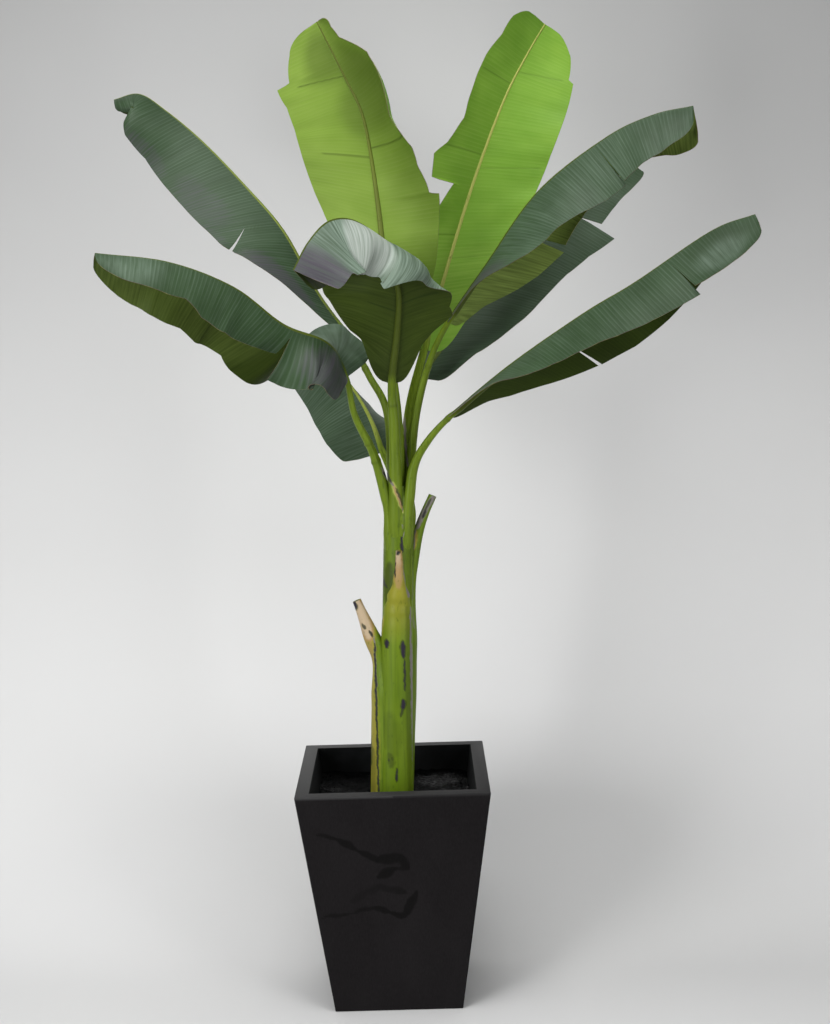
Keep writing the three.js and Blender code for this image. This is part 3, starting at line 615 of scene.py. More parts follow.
def loft(name, columns, rows, place):
    """A closed tube of rows, welded along its seam, with its ends closed."""
    piece = joined(name, [grid(name, columns, rows, place)], weld=0.02 * MM)
    edit(piece, "EDGE")
    bpy.ops.mesh.select_all(action="DESELECT")
    bpy.ops.mesh.select_non_manifold(extend=False, use_boundary=True, use_wire=False,
                                     use_multi_face=False, use_non_contiguous=False,
                                     use_verts=False)
    bpy.ops.mesh.edge_face_add()
    bpy.ops.mesh.select_all(action="SELECT")
    bpy.ops.mesh.normals_make_consistent(inside=False)
    done()
    return piece


def dress(piece, degrees, *skins):
    """Gives a piece its materials, and smooth shading but for edges sharper than this."""
    for skin in skins:
        piece.data.materials.append(skin)
    only(piece)
    bpy.ops.object.shade_smooth_by_angle(angle=math.radians(degrees))


def finish(piece, slot, *replaced):
    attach(piece, "root")
    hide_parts(*replaced)


# ---- materials ----
def add(tree, kind, links, out=None, **values):
    """Adds a node with its settings; its inputs are values, colours or other nodes' outputs."""
    node = tree.nodes.new(kind)
    for key, value in values.items():
        setattr(node, key, value)
    for key, value in links.items():
        socket = node.inputs[key]
        if isinstance(value, bpy.types.NodeSocket):
            tree.links.new(value, socket)
        elif socket.type == "RGBA":
            socket.default_value = (*(linear(value) if isinstance(value, str) else value), 1)
        else:
            socket.default_value = value
    return node if out is None else node.outputs[out]


def new_material(name):
    """A material, its empty tree and the piece's own coordinates there, in metres."""
    material = bpy.data.materials.new(name)
    material.use_nodes = True
    tree = material.node_tree
    tree.nodes.clear()
    return material, tree, add(tree, "ShaderNodeTexCoord", {}, "Object")


def coated(tree, tone, *coats):
    """Lays coats, pairs of a share and a colour, over a tone in order."""
    for share, over in coats:
        tone = add(tree, "ShaderNodeMix", {0: share, 6: tone, 7: over}, 2, data_type="RGBA")
    return tone


def shaded(tree, tone, roughness, ior=1.45, specular=0.5, relief=None, depth=0.0,
           strength=0.4, through=0):
    """Ends a tree in a shader of this tone, embossed `depth` metres deep by its relief, that
    lets a share of the light through."""
    links = {"Base Color": tone, "Roughness": roughness, "IOR": ior,
             "Specular IOR Level": specular}
    if relief:
        links["Normal"] = add(tree, "ShaderNodeBump", {"Height": relief, "Distance": depth,
                                                       "Strength": strength}, 0)
    shader = add(tree, "ShaderNodeBsdfPrincipled", links, 0)
    if through:
        behind = add(tree, "ShaderNodeBsdfTranslucent", {"Color": tone}, 0)
        shader = add(tree, "ShaderNodeMixShader", {0: through, 1: shader, 2: behind}, 0)
    add(tree, "ShaderNodeOutputMaterial", {"Surface": shader})


def streaky(tree, source, per_metre, low, high, strength, seed=0.0, detail=2.0):
    """A share from 0 to `strength` where noise, drawn out by its counts per metre, is high."""
    stretched = add(tree, "ShaderNodeMapping", {"Vector": source, "Scale": per_metre,
                                                "Location": (seed, seed, seed)}, 0)
    cloud = add(tree, "ShaderNodeTexNoise", {"Vector": stretched, "Scale": 1.0,
                                             "Detail": detail}, "Fac")
    return add(tree, "ShaderNodeMapRange", {"Value": cloud, "From Min": low, "From Max": high,
                                            "To Max": strength}, 0)


def wear_and_shading_shares(tree):
    """The mesh's own wear and painted shading: how dark, bruised and pale or dry it is."""
    wear_and_shading = add(tree, "ShaderNodeAttribute", {}, "Color", attribute_name="wear_and_shading")
    return add(tree, "ShaderNodeSeparateColor", {0: wear_and_shading}).outputs


def broken(tree, share, cloud, full=1.3):
    """A share with a cloud's ragged edges, none where it was none."""
    both = add(tree, "ShaderNodeMath", {0: cloud, 1: 0.5, 2: share}, 0,
               operation="MULTIPLY_ADD")
    return add(tree, "ShaderNodeMapRange", {"Value": both, "From Min": 0.5, "From Max": full}, 0)


def leaf_skin(name, base, shade, bloom, sheen_tone, streak, chalk, roughness, see_through, seed=0.0):
    """One side of a blade: side veins, waxy bloom along them, bruises, a painted sheen on its
    palest parts, and painted shade along creases and folds.

    The skin is cellulose under cutin and takes a soft plastic-like gloss. `streak` and `chalk`
    say how much bloom lies along the veins and over the pale marks.
    """
    gap = settings().leaf.vein_gap
    material, tree, place = new_material(name)
    growth = add(tree, "ShaderNodeUVMap", {}, 0, uv_map="growth")
    dark, bruised, pale = wear_and_shading_shares(tree)
    # At a scale of 1 this texture's waves are pi / 10 apart.
    veins = add(tree, "ShaderNodeTexWave", {"Vector": growth, "Scale": math.pi / 10 / gap,
                                            "Distortion": 0.0}, "Fac", bands_direction="Y")
    fine = streaky(tree, growth, (1.2, 1.7 / gap, 0), 0.35, 0.75, 1.0, seed, 3.0)
    broad = streaky(tree, growth, (0.8, 14, 0), 0.35, 0.7, 0.6, seed + 3)
    slow = streaky(tree, place, (7, 7, 7), 0.4, 0.7, 0.5, seed + 5, 3.0)
    waxy = add(tree, "ShaderNodeMath", {0: pale, 1: fine, 2: 0.25}, 0,
               operation="MULTIPLY_ADD")
    for share in (pale, chalk):
        waxy = add(tree, "ShaderNodeMath", {0: waxy, 1: share}, 0, operation="MULTIPLY")
    lines = add(tree, "ShaderNodeMapRange", {"Value": veins, "From Min": 0.72,
                                             "To Max": streak}, 0)
    threads = add(tree, "ShaderNodeMath", {0: fine, 1: streak}, 0, operation="MULTIPLY")
    # Painted sheen: where the pale share passes .85 the sheen tone lies over the blade, patchy
    # along the fine streaks.
    painted_sheen = add(tree, "ShaderNodeMapRange", {"Value": pale, "From Min": 0.85,
                                              "To Max": 0.95}, 0)
    patchy = add(tree, "ShaderNodeMapRange", {"Value": fine, "To Min": 0.45}, 0)
    painted_sheen = add(tree, "ShaderNodeMath", {0: painted_sheen, 1: patchy}, 0, operation="MULTIPLY")
    # The dark share, laid last, is painted shade on folds and creases.
    tone = coated(tree, base, (broad, shade), (threads, bloom), (lines, bloom), (waxy, bloom),
                  (slow, shade), (painted_sheen, sheen_tone), (broken(tree, bruised, fine), "#49464d"),
                  (dark, "#24380a"))
    relief = add(tree, "ShaderNodeMath", {0: veins, 1: fine}, 0, operation="ADD")
    shaded(tree, tone, roughness, specular=0.2, relief=relief, depth=0.22 * MM,
           through=see_through)
    return material


def leaf_skins():
    """The blades' finishes by name: upper side, underside and the dried margin."""
    leaf = settings().leaf
    margin, tree, place = new_material("dried blade margin")
    flaked = streaky(tree, place, (60, 60, 60), 0.4, 0.7, 0.7)
    shaded(tree, coated(tree, leaf.margin, (flaked, "#8d8a52")), 0.7)
    return {
        "young": (
            leaf_skin("young banana leaf, upper side", leaf.young_upper, "#6b9a2c", "#a5c65c",
                      "#b4cd7a", 0.2, 1, 0.45, 0.3),
            leaf_skin("young banana leaf, underside", leaf.young_under, "#7f9f36", "#a8bd66",
                      "#b9ca80", 0.18, 1, 0.55, 0.35, 1.0),
            margin),
        "mature": (
            leaf_skin("grown banana leaf, waxy upper side", leaf.mature_upper, "#273a20",
                      "#8c9f90", "#a9aea8", 0.09, 1, 0.5, 0.06, 2.0),
            leaf_skin("grown banana leaf, underside", leaf.mature_under, "#26320a", "#5a6a24",
                      "#98b058", 0.09, 0.2, 0.6, 0.26, 4.0),
            margin),
    }


def stem_skin(name, green, ripe, seed=0.0):
    """Waxy green sheath, drying through ochre and straw to cream, blotched and papery, with
    painted shade in deep olive.
    """
    stem = settings().stem
    material, tree, place = new_material(name)
    dark, bruised, dry = wear_and_shading_shares(tree)
    slow = streaky(tree, place, (16, 16, 6), 0.35, 0.7, 0.7, seed, 3.0)
    fibre = streaky(tree, place, (170, 170, 7), 0.45, 0.75, 0.5, seed + 2)
    fleck = streaky(tree, place, (120, 120, 60), 0.62, 0.72, 0.45, seed + 4)
    ripening, straw, cream, painted_shade = (
        add(tree, "ShaderNodeMapRange", {"Value": value, "From Min": low, "From Max": high,
                                         "To Max": most}, 0)
        for value, low, high, most in ((dry, 0, 0.33, 1), (dry, 0.33, 0.66, 1),
                                       (dry, 0.66, 1, 1), (dark, 0, 0.25, 0.75)))
    # The dark share's first quarter deepens the green to olive: painted shade under the faint
    # dark strokes and along the midribs, and the start of rings and scars.
    tone = coated(tree, green, (slow, "#718720"), (fibre, stem.deep), (ripening, ripe),
                  (straw, stem.dry), (cream, "#d9cfbd"), (fleck, stem.deep),
                  (broken(tree, bruised, fibre, 0.95), "#79736f"), (painted_shade, "#343d12"),
                  (broken(tree, dark, fibre, 0.9), stem.scar))
    shaded(tree, tone, 0.45, specular=0.2, relief=fibre, depth=0.5 * MM, strength=0.5)
    return material


# ---- wear and painted shade drawn on a piece from its front ----
def drawn(points, marks, seed=0, depth=None):
    """Wear and painted shade from strokes on a piece's front, each x, z, end x, end z, half
    width, strength.

    The front is what lies before `depth`, or before the points' middle. A strength may be a
    pair, from the stroke's one end to the other. The strokes wander a little off their lines.
    """
    wear_and_shading = np.zeros((len(points), 3))
    front = points[:, 1] < (np.median(points[:, 1]) if depth is None else depth)
    aside = 2 * waves(points / 12, seed) + 1.3 * waves(points / 4, seed + 2)
    flat = points[:, (0, 2)] + np.stack([aside, 7 * waves(points / 25, seed + 1)], 1)
    for channel, kind in enumerate(WEAR_AND_SHADING):
        for x, z, end_x, end_z, half, strength in marks.get(kind, ()):
            start, run = np.array((x, z), float), np.array((end_x - x, end_z - z), float)
            share = np.clip(((flat - start) @ run) / max(run @ run, 1e-6), 0, 1)
            off = np.linalg.norm(flat - start - column(share) * run, axis=1) / half
            off *= 1 + STROKE_TAPER * (2 * share - 1) ** 4
            strong = np.interp(share, (0, 1), np.broadcast_to(strength, 2))
            stroke = strong * (1 - smoothstep(off, *STROKE_FADE)) * front
            wear_and_shading[:, channel] = np.maximum(wear_and_shading[:, channel], stroke)
    return wear_and_shading


# ---- pieces ----
class PlantOperator:
    bl_options = {"REGISTER", "UNDO"}


class BANANA_OT_blades(PlantOperator, bpy.types.Operator):
    """Grow the leaf blades, torn and ruffled"""
    bl_idname = "banana.blades"
    bl_label = "Leaf blades"

    row_step = 2.6  # millimetres between rows of vertices
    columns = 18  # from midrib to margin
    crease_depth = 1.2  # millimetres
    ruffles = ((9, 0.9, 1), (26, 1.4, 0.35))  # per metre, per half's width, share of height
    ruffle_power = 1.3  # they grow with this power of the reach

    def blade(self, leaf, skins):
        tallest = settings().leaf.ruffle / MM
        strips = []
        for side in (-1, 1):
            for strip in leaf.strips(side):
                start, end = strip["start"]["at"], strip["end"]["at"]
                rows = max(4, math.ceil((end - start) * leaf.blade_length / self.row_step))

                def place(across, along, side=side, strip=strip):
                    reach = across if side > 0 else 1 - across
                    points, normals, share = leaf.surface(side, strip, along, reach)
                    metres = share * leaf.blade_length * MM
                    ruffle = sum(high * waves(np.stack([metres * long, side * reach * wide,
                                                        0 * share], 1), leaf.seed + number)
                                 for number, (long, wide, high) in enumerate(self.ruffles))
                    wear_and_shading = leaf.wear_and_shading(side, share, reach)
                    height = (tallest * reach ** self.ruffle_power * ruffle
                              - self.crease_depth * wear_and_shading[:, 0])
                    wear_and_shading[:, 2] = np.maximum(wear_and_shading[:, 2], leaf.details.get("bloom", 0))
                    return (points + normals * column(height),
                            np.stack([side * reach, metres], 1), wear_and_shading)

                strips.append(grid(leaf.name, self.columns, rows, place))
        piece = joined(f"{leaf.name}_blade", strips, weld=0.4 * MM)
        for skin in skins[leaf.skin]:
            piece.data.materials.append(skin)
        apply(piece, "SOLIDIFY", thickness=settings().leaf.thickness, offset=0,
              material_offset=1, material_offset_rim=2)
        dress(piece, 50)
        return piece

    def execute(self, context):
        skins = leaf_skins()
        for name, leaf in PLANT.items():
            replaced = [f"{name}_leaf"] + ["front_leaf_tip"] * (name == "front")
            finish(self.blade(leaf, skins), "foliage", *replaced)
        return {"FINISHED"}


def stem_centre(height):
    share = (height - STEM_BASE) / (STEM_FORK[2] - STEM_BASE)
    return lerp(np.array(STEM_FOOT, float), np.array(STEM_FORK[:2], float), share)


class BANANA_OT_stalks(PlantOperator, bpy.types.Operator):
    """Grow each leaf's stalk out of the stem and on into its midrib"""
    bl_idname = "banana.stalks"
    bl_label = "Stalks and midribs"

    sides = 24
    # Millimetres:
    row_step = 5.0
    clasp = 150  # how far the stalk's foot runs down the stem
    sunk = ((1, 34), (0.5, 13))  # how deep it lies in the stem, at shares of that
    foot_half_width = 24
    tip_half_width = 1.5
    ring_width = 4
    proud = 1.8  # how far a midrib stands off below its blade
    # Shares of the stalk's half width:
    ring_swell = 0.14
    groove, groove_width = 0.45, 0.5  # in its upper side
    flat = (0.7, 0.95)  # how high and how deep it is
    sink = 0.9  # how far a midrib sinks between halves that rise
    # Shares of the blade's length where the midrib is settled, proud and pale:
    settles, stands, pales = 0.05, 0.06, 0.15
    groove_start = (0.06, 0.14)  # shares of the whole leaf's length
    taper = 0.8  # the midrib narrows with this power of the share
    midrib_pale, ring_dark = 0.33, 0.12
    fork_depth = 20  # the fork's marks lie before this, millimetres

    def foot(self, leaf):
        """The path of the stalk's foot down the stem's side, ending at the leaf's first point."""
        first, second = leaf.path.padded[1], leaf.path.padded[2]
        outward = unit(first[:2] - stem_centre(first[2]) + 1e-3 * np.ones(2))
        low = []
        for share, sunk in self.sunk:
            height = first[2] - share * self.clasp
            spot = stem_centre(height) + outward * (STEM_RADII[1] - sunk)
            low.append((*spot, height))
        return FramedPath([*low, first, second], leaf.path.across[0])

    def stalk(self, leaf, material):
        foot = self.foot(leaf)
        foot_end = foot.share_of(2)
        foot_share = foot_end * foot.length / leaf.path.length

        def place(around, run):
            along = lerp(-foot_share, 1, run)
            low, grown = column(along < 0), np.clip(along, 0, 1)
            foot_at = np.clip(1 + along / foot_share, 0, 1) * foot_end
            point, _, across, up = (np.where(low, *pair) for pair in
                                    zip(foot.at(foot_at), leaf.path.at(grown)))
            in_blade = np.clip((along - leaf.blade_share) / (1 - leaf.blade_share), 0, 1)
            thick, thin = leaf.stalk
            width = keyed((thick, (thick + thin) / 2, thin), grown / leaf.blade_share)
            width = lerp(width, self.tip_half_width, in_blade ** self.taper)
            flared = lerp(width, self.foot_half_width, smoothstep(-along / foot_share, 0, 1))
            ring = sum(np.exp(-((along - at) * leaf.path.length / self.ring_width) ** 2)
                       for at in leaf.details.get("rings", ())) + 0 * along
            width = np.where(along < 0, flared, width) * (1 + self.ring_swell * ring)
            settled = smoothstep(in_blade, 0, self.settles)
            right, left = (np.radians(keyed(leaf.halves[side]["rise"], in_blade)) * settled
                           for side in (1, -1))
            down = -unit(up * column(np.cos(right) + np.cos(left))
                         + across * column(np.sin(left) - np.sin(right)))
            out = np.cross(down, unit(np.cross(across, up)))
            opening = math.pi / 2 + (right + left) / 2
            narrow = np.sin(np.minimum(opening, math.pi / 2))
            sunk = np.maximum(np.cos(opening), 0) * width * self.sink
            angle = 2 * math.pi * around
            x, y = np.cos(angle) * width * narrow, -np.sin(angle)
            high, deep = self.flat
            groove = self.groove * smoothstep(along, *self.groove_start) * (1 - settled)
            proud = sunk + leaf.details.get("proud", self.proud)
            top = lerp(high * width, proud, smoothstep(in_blade, 0, self.stands))
            across_groove = np.cos(angle) / self.groove_width
            upper = y * top - groove * width * np.exp(-across_groove ** 2)
            height = np.where(y > 0, upper, y * width * deep)
            points = point + out * column(x) + down * column(sunk - height)
            pale = (self.midrib_pale * smoothstep(in_blade, 0, self.pales)
                    * leaf.details.get("rib", 1))
            # Painted shade darkens the midrib along the blade; each ring is a darker band of its
            # own.
            painted_shade = settled * leaf.details.get("painted_shade", 0)
            wear_and_shading = np.stack([np.maximum(self.ring_dark * ring, painted_shade), 0 * along, pale], 1)
            wear_and_shading = np.maximum(wear_and_shading, drawn(points, FORK_MARKS, leaf.seed, self.fork_depth))
            return points, np.stack([around, along * leaf.path.length * MM], 1), wear_and_shading

        rows = math.ceil(leaf.path.length * (1 + foot_share) / self.row_step)
        piece = loft(f"{leaf.name}_stalk_and_midrib", self.sides, rows, place)
        dress(piece, 60, material)
        return piece

    def execute(self, context):
        material = stem_skin("banana leaf stalk, waxy green", "#64791c",
                             settings().leaf.midrib, 3.0)
        for name, leaf in PLANT.items():
            finish(self.stalk(leaf, material), "stem", f"{name}_stalk")
        return {"FINISHED"}


class BANANA_OT_stem(PlantOperator, bpy.types.Operator):
    """Build the stem of clasping sheaths and its cut stubs"""
    bl_idname = "banana.stem"
    bl_label = "Stem and sheaths"

    sides = 120
    row_step = 3.0  # millimetres, as all lengths here
    front = -math.pi / 2  # the angle of the stem's front about its axis
    margins = 3  # sheath margins round the stem
    lean = 0.0006  # their turn about it, radians a millimetre
    level = 1000  # the height where a margin faces front
    ripple = ((14, 14, 90), 0.5)  # spacing and height of the ripples along it
    fork_half_width = 26

    def limb(self, name, path, widths, depths, marks, step):
        def place(around, along):
            point, _, across, up = path.at(along)
            angle = 2 * math.pi * around
            lean = self.lean * (point[:, 2] - self.level)
            turn = (angle - self.front + lean) / (2 * math.pi) * self.margins
            extra = step * (turn % 1 - 0.5)
            x = (keyed(widths, along) + extra) * np.cos(angle)
            y = (keyed(depths, along) + extra) * np.sin(angle)
            outward = across * column(x) + up * column(y)
            points = point + outward
            spacing, height = self.ripple
            ripples = waves(points / spacing, len(name))
            points += unit(outward) * column(height * ripples)
            wear_and_shading = drawn(points, marks, len(name))
            return points, np.stack([around, point[:, 2] * MM], 1), wear_and_shading

        rows = math.ceil(path.length / self.row_step)
        return loft(name, self.sides, rows, place)

    def execute(self, context):
        stem = settings().stem
        material = stem_skin("banana stem sheath, living green", stem.green, stem.ripe)
        middle = (STEM_BASE + STEM_FORK[2]) / 2
        core = FramedPath([(*STEM_FOOT, STEM_BASE), (*stem_centre(middle), middle), STEM_FORK],
                          (1, 0, 0))
        radii = (*np.linspace(*STEM_RADII, 24), self.fork_half_width)
        limbs = [("pseudostem", "stem", core, radii, radii, STEM_MARKS, stem.step / MM)]
        for name, sheath in SHEATHS.items():
            points = [(x, y, max(z, STEM_BASE)) for x, y, z in sheath["path"]]
            limbs.append((name, f"{name}_grown", FramedPath(points, (1, 0, 0)),
                          sheath["widths"], sheath["depths"], sheath["marks"], 0))
        for replaced, *shape in limbs:
            piece = self.limb(*shape)
            dress(piece, 40, material)
            finish(piece, "stem", replaced)
        return {"FINISHED"}


class BANANA_OT_planter(PlantOperator, bpy.types.Operator):
    """Mould the tapered square planter with its flat rim"""
    bl_idname = "banana.planter"
    bl_label = "Planter"

    floor = 0.025  # metres thick
    front_cuts = 110  # for the marks drawn on the front
    inside_inset = 0.02  # metres from the outside to where the near-black inside material is sure to start
    painted_rim_light = (0.14, 0.6)  # painted light on the rim's front edge and on the rest of it
    left_light = 2.6  # how much more painted light lies on the rim's left side
    front_depth = -100  # the marks lie before this, millimetres

    def execute(self, context):
        planter = settings().planter
        bpy.ops.object.select_all(action="DESELECT")
        bpy.ops.mesh.primitive_cube_add(size=1, location=(0, 0, planter.height / 2))
        piece = context.object
        piece.name = piece.data.name = "planter_body"
        only(piece)
        piece.scale = (planter.rim_width, planter.rim_width, planter.height)
        bpy.ops.object.transform_apply(location=True, rotation=True, scale=True)
        foot = planter.foot_width / planter.rim_width
        inner_foot = lerp(planter.foot_width, planter.rim_width, self.floor / planter.height)
        inner = planter.rim_width - 2 * planter.wall
        inner_foot = (inner_foot - 2 * planter.wall) / inner
        edit(piece, "FACE")
        self.pick(piece, lambda face: face.normal.z < -0.5)
        bpy.ops.transform.resize(value=(foot, foot, 1))
        self.pick(piece, lambda face: face.normal.z > 0.5)
        bpy.ops.mesh.inset(thickness=planter.wall)
        bpy.ops.mesh.extrude_region_move(
            TRANSFORM_OT_translate={"value": (0, 0, self.floor - planter.height)})
        bpy.ops.transform.resize(value=(inner_foot, inner_foot, 1))
        done()
        apply(piece, "BEVEL", width=planter.edge, segments=3, limit_method="ANGLE",
              angle_limit=math.radians(30))
        edit(piece, "FACE")
        self.pick(piece, lambda face: face.normal.y < -0.97 and face.center.y < -0.1)
        bpy.ops.mesh.subdivide(number_cuts=self.front_cuts)
        done()
        points = vertices(piece) / MM
        wear_and_shading = drawn(points, PLANTER_MARKS, depth=self.front_depth)
        # The rim is painted lighter where light from above falls on it, most on its left and
        # back.
        rim = points[:, 2] > (planter.height - planter.edge) / MM
        rim_light = (np.where(points[:, 1] < 0, *self.painted_rim_light)
                * np.where(points[:, 0] < 0, self.left_light, 1))
        wear_and_shading[:, 2] = rim * rim_light
        keep_wear_and_shading(piece, wear_and_shading)
        dress(piece, 35, self.clay(planter), self.inside_black())
        for face in piece.data.polygons:
            middle = face.center
            inner = self.half(planter, middle.z) - self.inside_inset
            inside = max(abs(middle.x), abs(middle.y)) < inner
            face.material_index = int(inside and middle.z > 0.5 * self.floor)
        finish(piece, "planter", "pot")
        return {"FINISHED"}

    @staticmethod
    def half(planter, height):
        return lerp(planter.foot_width, planter.rim_width, height / planter.height) / 2

    @staticmethod
    def clay(planter):
        """Fibre clay cast in a mould: near black, satin, brushed by handling, with painted light
        in grey on its rim.
        """
        material, tree, place = new_material("moulded fibre clay, charcoal")
        dark, _, lit_rim = wear_and_shading_shares(tree)
        grain = streaky(tree, place, (500, 500, 90), 0.35, 0.75, 1.0)
        cloud = streaky(tree, place, (9, 9, 5), 0.4, 0.7, 0.5, 4.0, 4.0)
        faint = add(tree, "ShaderNodeMath", {0: grain, 1: 0.3}, 0, operation="MULTIPLY")
        # The rim's share paints light in pale grey over the charcoal.
        tone = coated(tree, planter.body, (cloud, "#1b191a"), (faint, "#222021"),
                      (lit_rim, "#565656"), (broken(tree, dark, cloud, 0.9), "#0a0909"))
        shaded(tree, tone, 0.55, 1.5, 0.08, grain, 0.2 * MM)
        return material

    @staticmethod
    def inside_black():
        """Near black, far darker than the body, on the faces inside the planter."""
        material, tree, place = new_material("planter inside, near black")
        cloud = streaky(tree, place, (30, 30, 30), 0.4, 0.7, 1.0)
        shaded(tree, coated(tree, "#020303", (cloud, "#08090a")), 0.8, 1.5, 0.08)
        return material

    @staticmethod
    def pick(piece, test):
        """Selects the faces that pass the test, in edit mode."""
        bpy.ops.mesh.select_all(action="DESELECT")
        bpy.ops.object.mode_set(mode="OBJECT")
        for face in piece.data.polygons:
            face.select = bool(test(face))
        bpy.ops.object.mode_set(mode="EDIT")


class BANANA_OT_mix(PlantOperator, bpy.types.Operator):
    """Lay the dark crumpled fill in the planter"""
    bl_idname = "banana.mix"
    bl_label = "Fill"

    cells = 150
    gap = 0.3  # round the fill, millimetres
    folds = ((34, 0.6, 3), (12, 0.3, 5))  # spacing in millimetres, share of height, seed
    swell = (70, 1, 7)
    sag = 0.2  # how far it all lies lower, a share of the folds' height
    sheet = 0.008  # metres thick
    by_stem = 0.25  # the share of their height that is left at the stem
    round_stem = (60, 110)  # the radii between which they grow to their full height
    glint = ((105, 95), (60, 45))  # middle and half sizes of the wet patch

    def execute(self, context):
        planter = settings().planter
        level = planter.height - planter.mix_depth
        reach = (BANANA_OT_planter.half(planter, level) - planter.wall) / MM - self.gap
        top, lump = level / MM, planter.lump / MM

        def place(x, y):
            flat = np.stack([(2 * x - 1) * reach, (2 * y - 1) * reach, 0 * x + top], 1)
            height = sum(share * (1 - 2 * np.abs(waves(flat / spacing, seed)))
                         for spacing, share, seed in self.folds)
            spacing, share, seed = self.swell
            height = lump * (height + share * waves(flat / spacing, seed))
            from_stem = np.hypot(*(flat[:, :2] - STEM_FOOT).T)
            height *= lerp(self.by_stem, 1, smoothstep(from_stem, *self.round_stem))
            wet = np.zeros((len(x), 3))
            middle, half = self.glint
            from_glint = np.hypot(*((flat[:, :2] - middle) / half).T)
            wet[:, 2] = 1 - smoothstep(from_glint, 0.5, 1.2)
            flat[:, 2] += height - lump * self.sag
            return flat, np.stack([x, y], 1), wet

        piece = grid("crumpled_fill", self.cells, self.cells, place)
        apply(piece, "SOLIDIFY", thickness=self.sheet, offset=-1)
        material, tree, spot = new_material("wet black bark mulch under film")
        wet = add(tree, "ShaderNodeMapRange", {"Value": wear_and_shading_shares(tree)[2], "To Min": 0.05,
                                               "To Max": 0.45}, 0)
        cloud = streaky(tree, spot, (40, 40, 40), 0.45, 0.7, 0.6)
        crumple = streaky(tree, spot, (150, 150, 150), 0.3, 0.7, 1.0, 2.0, 3.0)
        shaded(tree, coated(tree, planter.fill, (cloud, "#0b0a09")), 0.07, 1.5, wet, crumple,
               3 * MM, 1.0)
        dress(piece, 60, material)
        finish(piece, "potting_mix", "potting_mix")
        return {"FINISHED"}


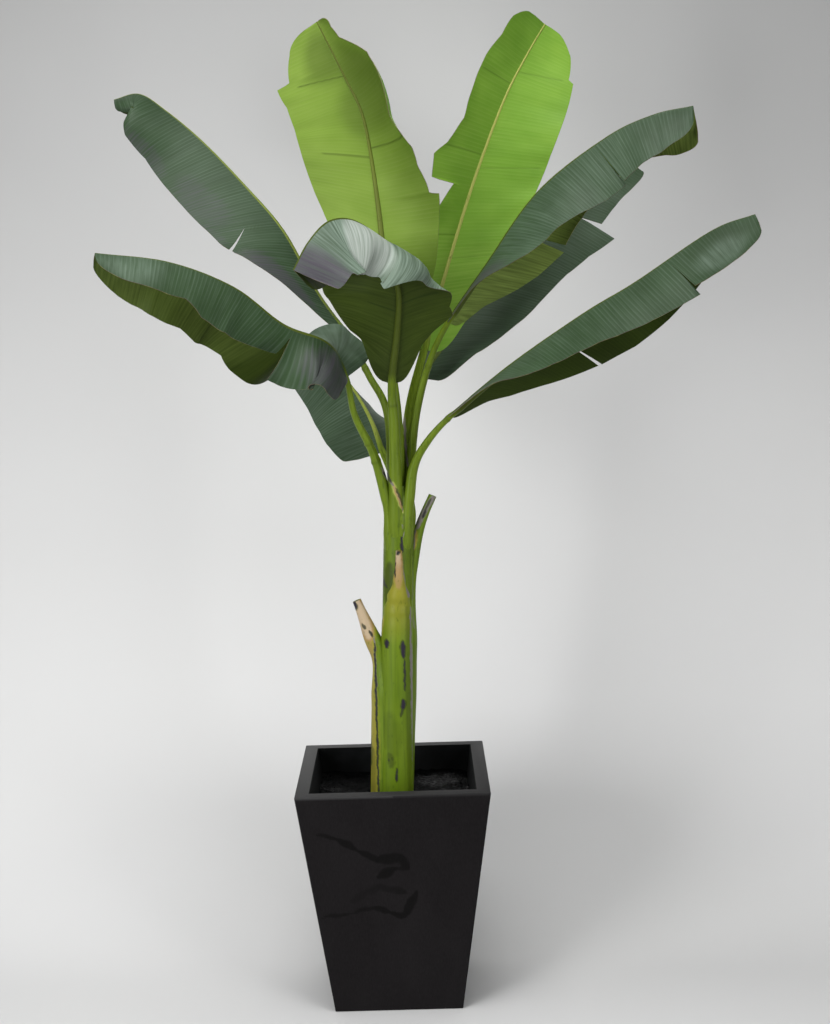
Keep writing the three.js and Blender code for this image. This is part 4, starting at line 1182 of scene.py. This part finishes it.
class BANANA_OT_stage(PlantOperator, bpy.types.Operator):
    """Set the paper sweep, the soft lights and the camera"""
    bl_idname = "banana.stage"
    bl_label = "Stage"

    camera_place = (0.0643, -3.646, 1.5679)
    camera_pitch = 7.48  # degrees below the horizon
    camera_roll = -1.56
    focal_pixels = 1667
    image_height = 1024
    sensor = 24  # millimetres, the image's height on it
    lights = (  # place, aim, size, watts, spread in degrees
        ((-2.3, -2.7, 1.5), (-0.6, 0.6, 0.4), 1.5, 28, 94),
        ((2.4, -2.5, 1.3), (0.7, 0.5, 0.5), 1.5, 16, 96),
        ((-0.2, -0.8, 3.6), (0, 0, 0.6), 1.6, 20, 90),
    )
    air_strength = 0.2
    sheet = (9000, 9000)  # the paper's width and run, millimetres
    sheet_front = -4200
    sheet_radius = 900  # of the sweep from floor to backdrop
    sheet_under = 0.6  # how far it lies below the planter's foot

    def paper(self, stage):
        width, run_length = self.sheet
        radius = self.sheet_radius
        flat_end, quarter = stage.backdrop / MM - radius, radius * math.pi / 2

        def place(x, y):
            run = y * run_length + self.sheet_front
            turn = np.clip((run - flat_end) / quarter, 0, 1) * math.pi / 2
            past = np.maximum(run - flat_end - quarter, 0)
            level = np.minimum(run, flat_end) + radius * np.sin(turn)
            rise = radius * (1 - np.cos(turn)) + past - self.sheet_under
            sheet = np.stack([(x - 0.5) * width, level, rise], 1)
            return sheet, np.stack([x, y], 1), np.zeros((len(x), 3))

        material, tree, spot = new_material("matte studio paper")
        cloud = streaky(tree, spot, (1.1, 1.1, 1.1), 0.3, 0.8, 0.35)
        shaded(tree, coated(tree, stage.paper, (cloud, "#cfcfd0")), 0.9)
        floor = grid("paper_sweep", 4, 160, place)
        dress(floor, 60, material)

    def execute(self, context):
        scene = context.scene
        self.paper(settings().stage)
        for number, (spot, aim, size_m, power, spread) in enumerate(self.lights):
            lamp = bpy.data.lights.new(f"softbox_{number}", "AREA")
            lamp.size, lamp.energy, lamp.spread = size_m, power, math.radians(spread)
            holder = bpy.data.objects.new(f"softbox_{number}", lamp)
            holder.location = spot
            direction = Vector(aim) - Vector(spot)
            holder.rotation_euler = direction.to_track_quat("-Z", "Y").to_euler()
            scene.collection.objects.link(holder)
        scene.world = bpy.data.worlds.new("studio air")
        scene.world.use_nodes = True
        air = scene.world.node_tree.nodes["Background"]
        air.inputs["Color"].default_value = (*linear("#f2f3f6"), 1)
        air.inputs["Strength"].default_value = self.air_strength
        camera = bpy.data.cameras.new("camera")
        camera.sensor_fit = "VERTICAL"
        camera.sensor_height = self.sensor
        camera.lens = self.focal_pixels / self.image_height * self.sensor
        holder = bpy.data.objects.new("camera", camera)
        scene.collection.objects.link(holder)
        holder.matrix_world = (
            Matrix.Translation(self.camera_place)
            @ Matrix.Rotation(math.radians(90 - self.camera_pitch), 4, "X")
            @ Matrix.Rotation(math.radians(self.camera_roll), 4, "Z"))
        bpy.context.scene.camera = holder
        scene.view_settings.view_transform = "Standard"
        return {"FINISHED"}


OPERATORS = (BANANA_OT_planter, BANANA_OT_mix, BANANA_OT_stem, BANANA_OT_stalks,
             BANANA_OT_blades, BANANA_OT_stage)


class BANANA_PT_panel(bpy.types.Panel):
    """Lists the pieces of the plant and its settings"""
    bl_idname = "BANANA_PT_panel"
    bl_label = "Banana plant"
    bl_space_type = "VIEW_3D"
    bl_region_type = "UI"
    bl_category = "Banana plant"

    def draw(self, context):
        groups = context.scene.banana_plant
        for name in ("planter", "stem", "leaf", "stage"):
            group = getattr(groups, name)
            box = self.layout.box()
            box.label(text=name.capitalize())
            for key in group.__annotations__:
                box.prop(group, key)
        for operator in OPERATORS:
            self.layout.operator(operator.bl_idname)


CLASSES = (PlanterSettings, StemSettings, LeafSettings, StageSettings, BananaPlantSettings,
           *OPERATORS, BANANA_PT_panel)


def register():
    for cls in CLASSES:
        bpy.utils.register_class(cls)
    bpy.types.Scene.banana_plant = bpy.props.PointerProperty(type=BananaPlantSettings)


def unregister():
    del bpy.types.Scene.banana_plant
    for cls in reversed(CLASSES):
        bpy.utils.unregister_class(cls)


def main():
    register()
    for operator in OPERATORS:
        group, name = operator.bl_idname.split(".")
        getattr(getattr(bpy.ops, group), name)()


if __name__ == "__main__":
    main()
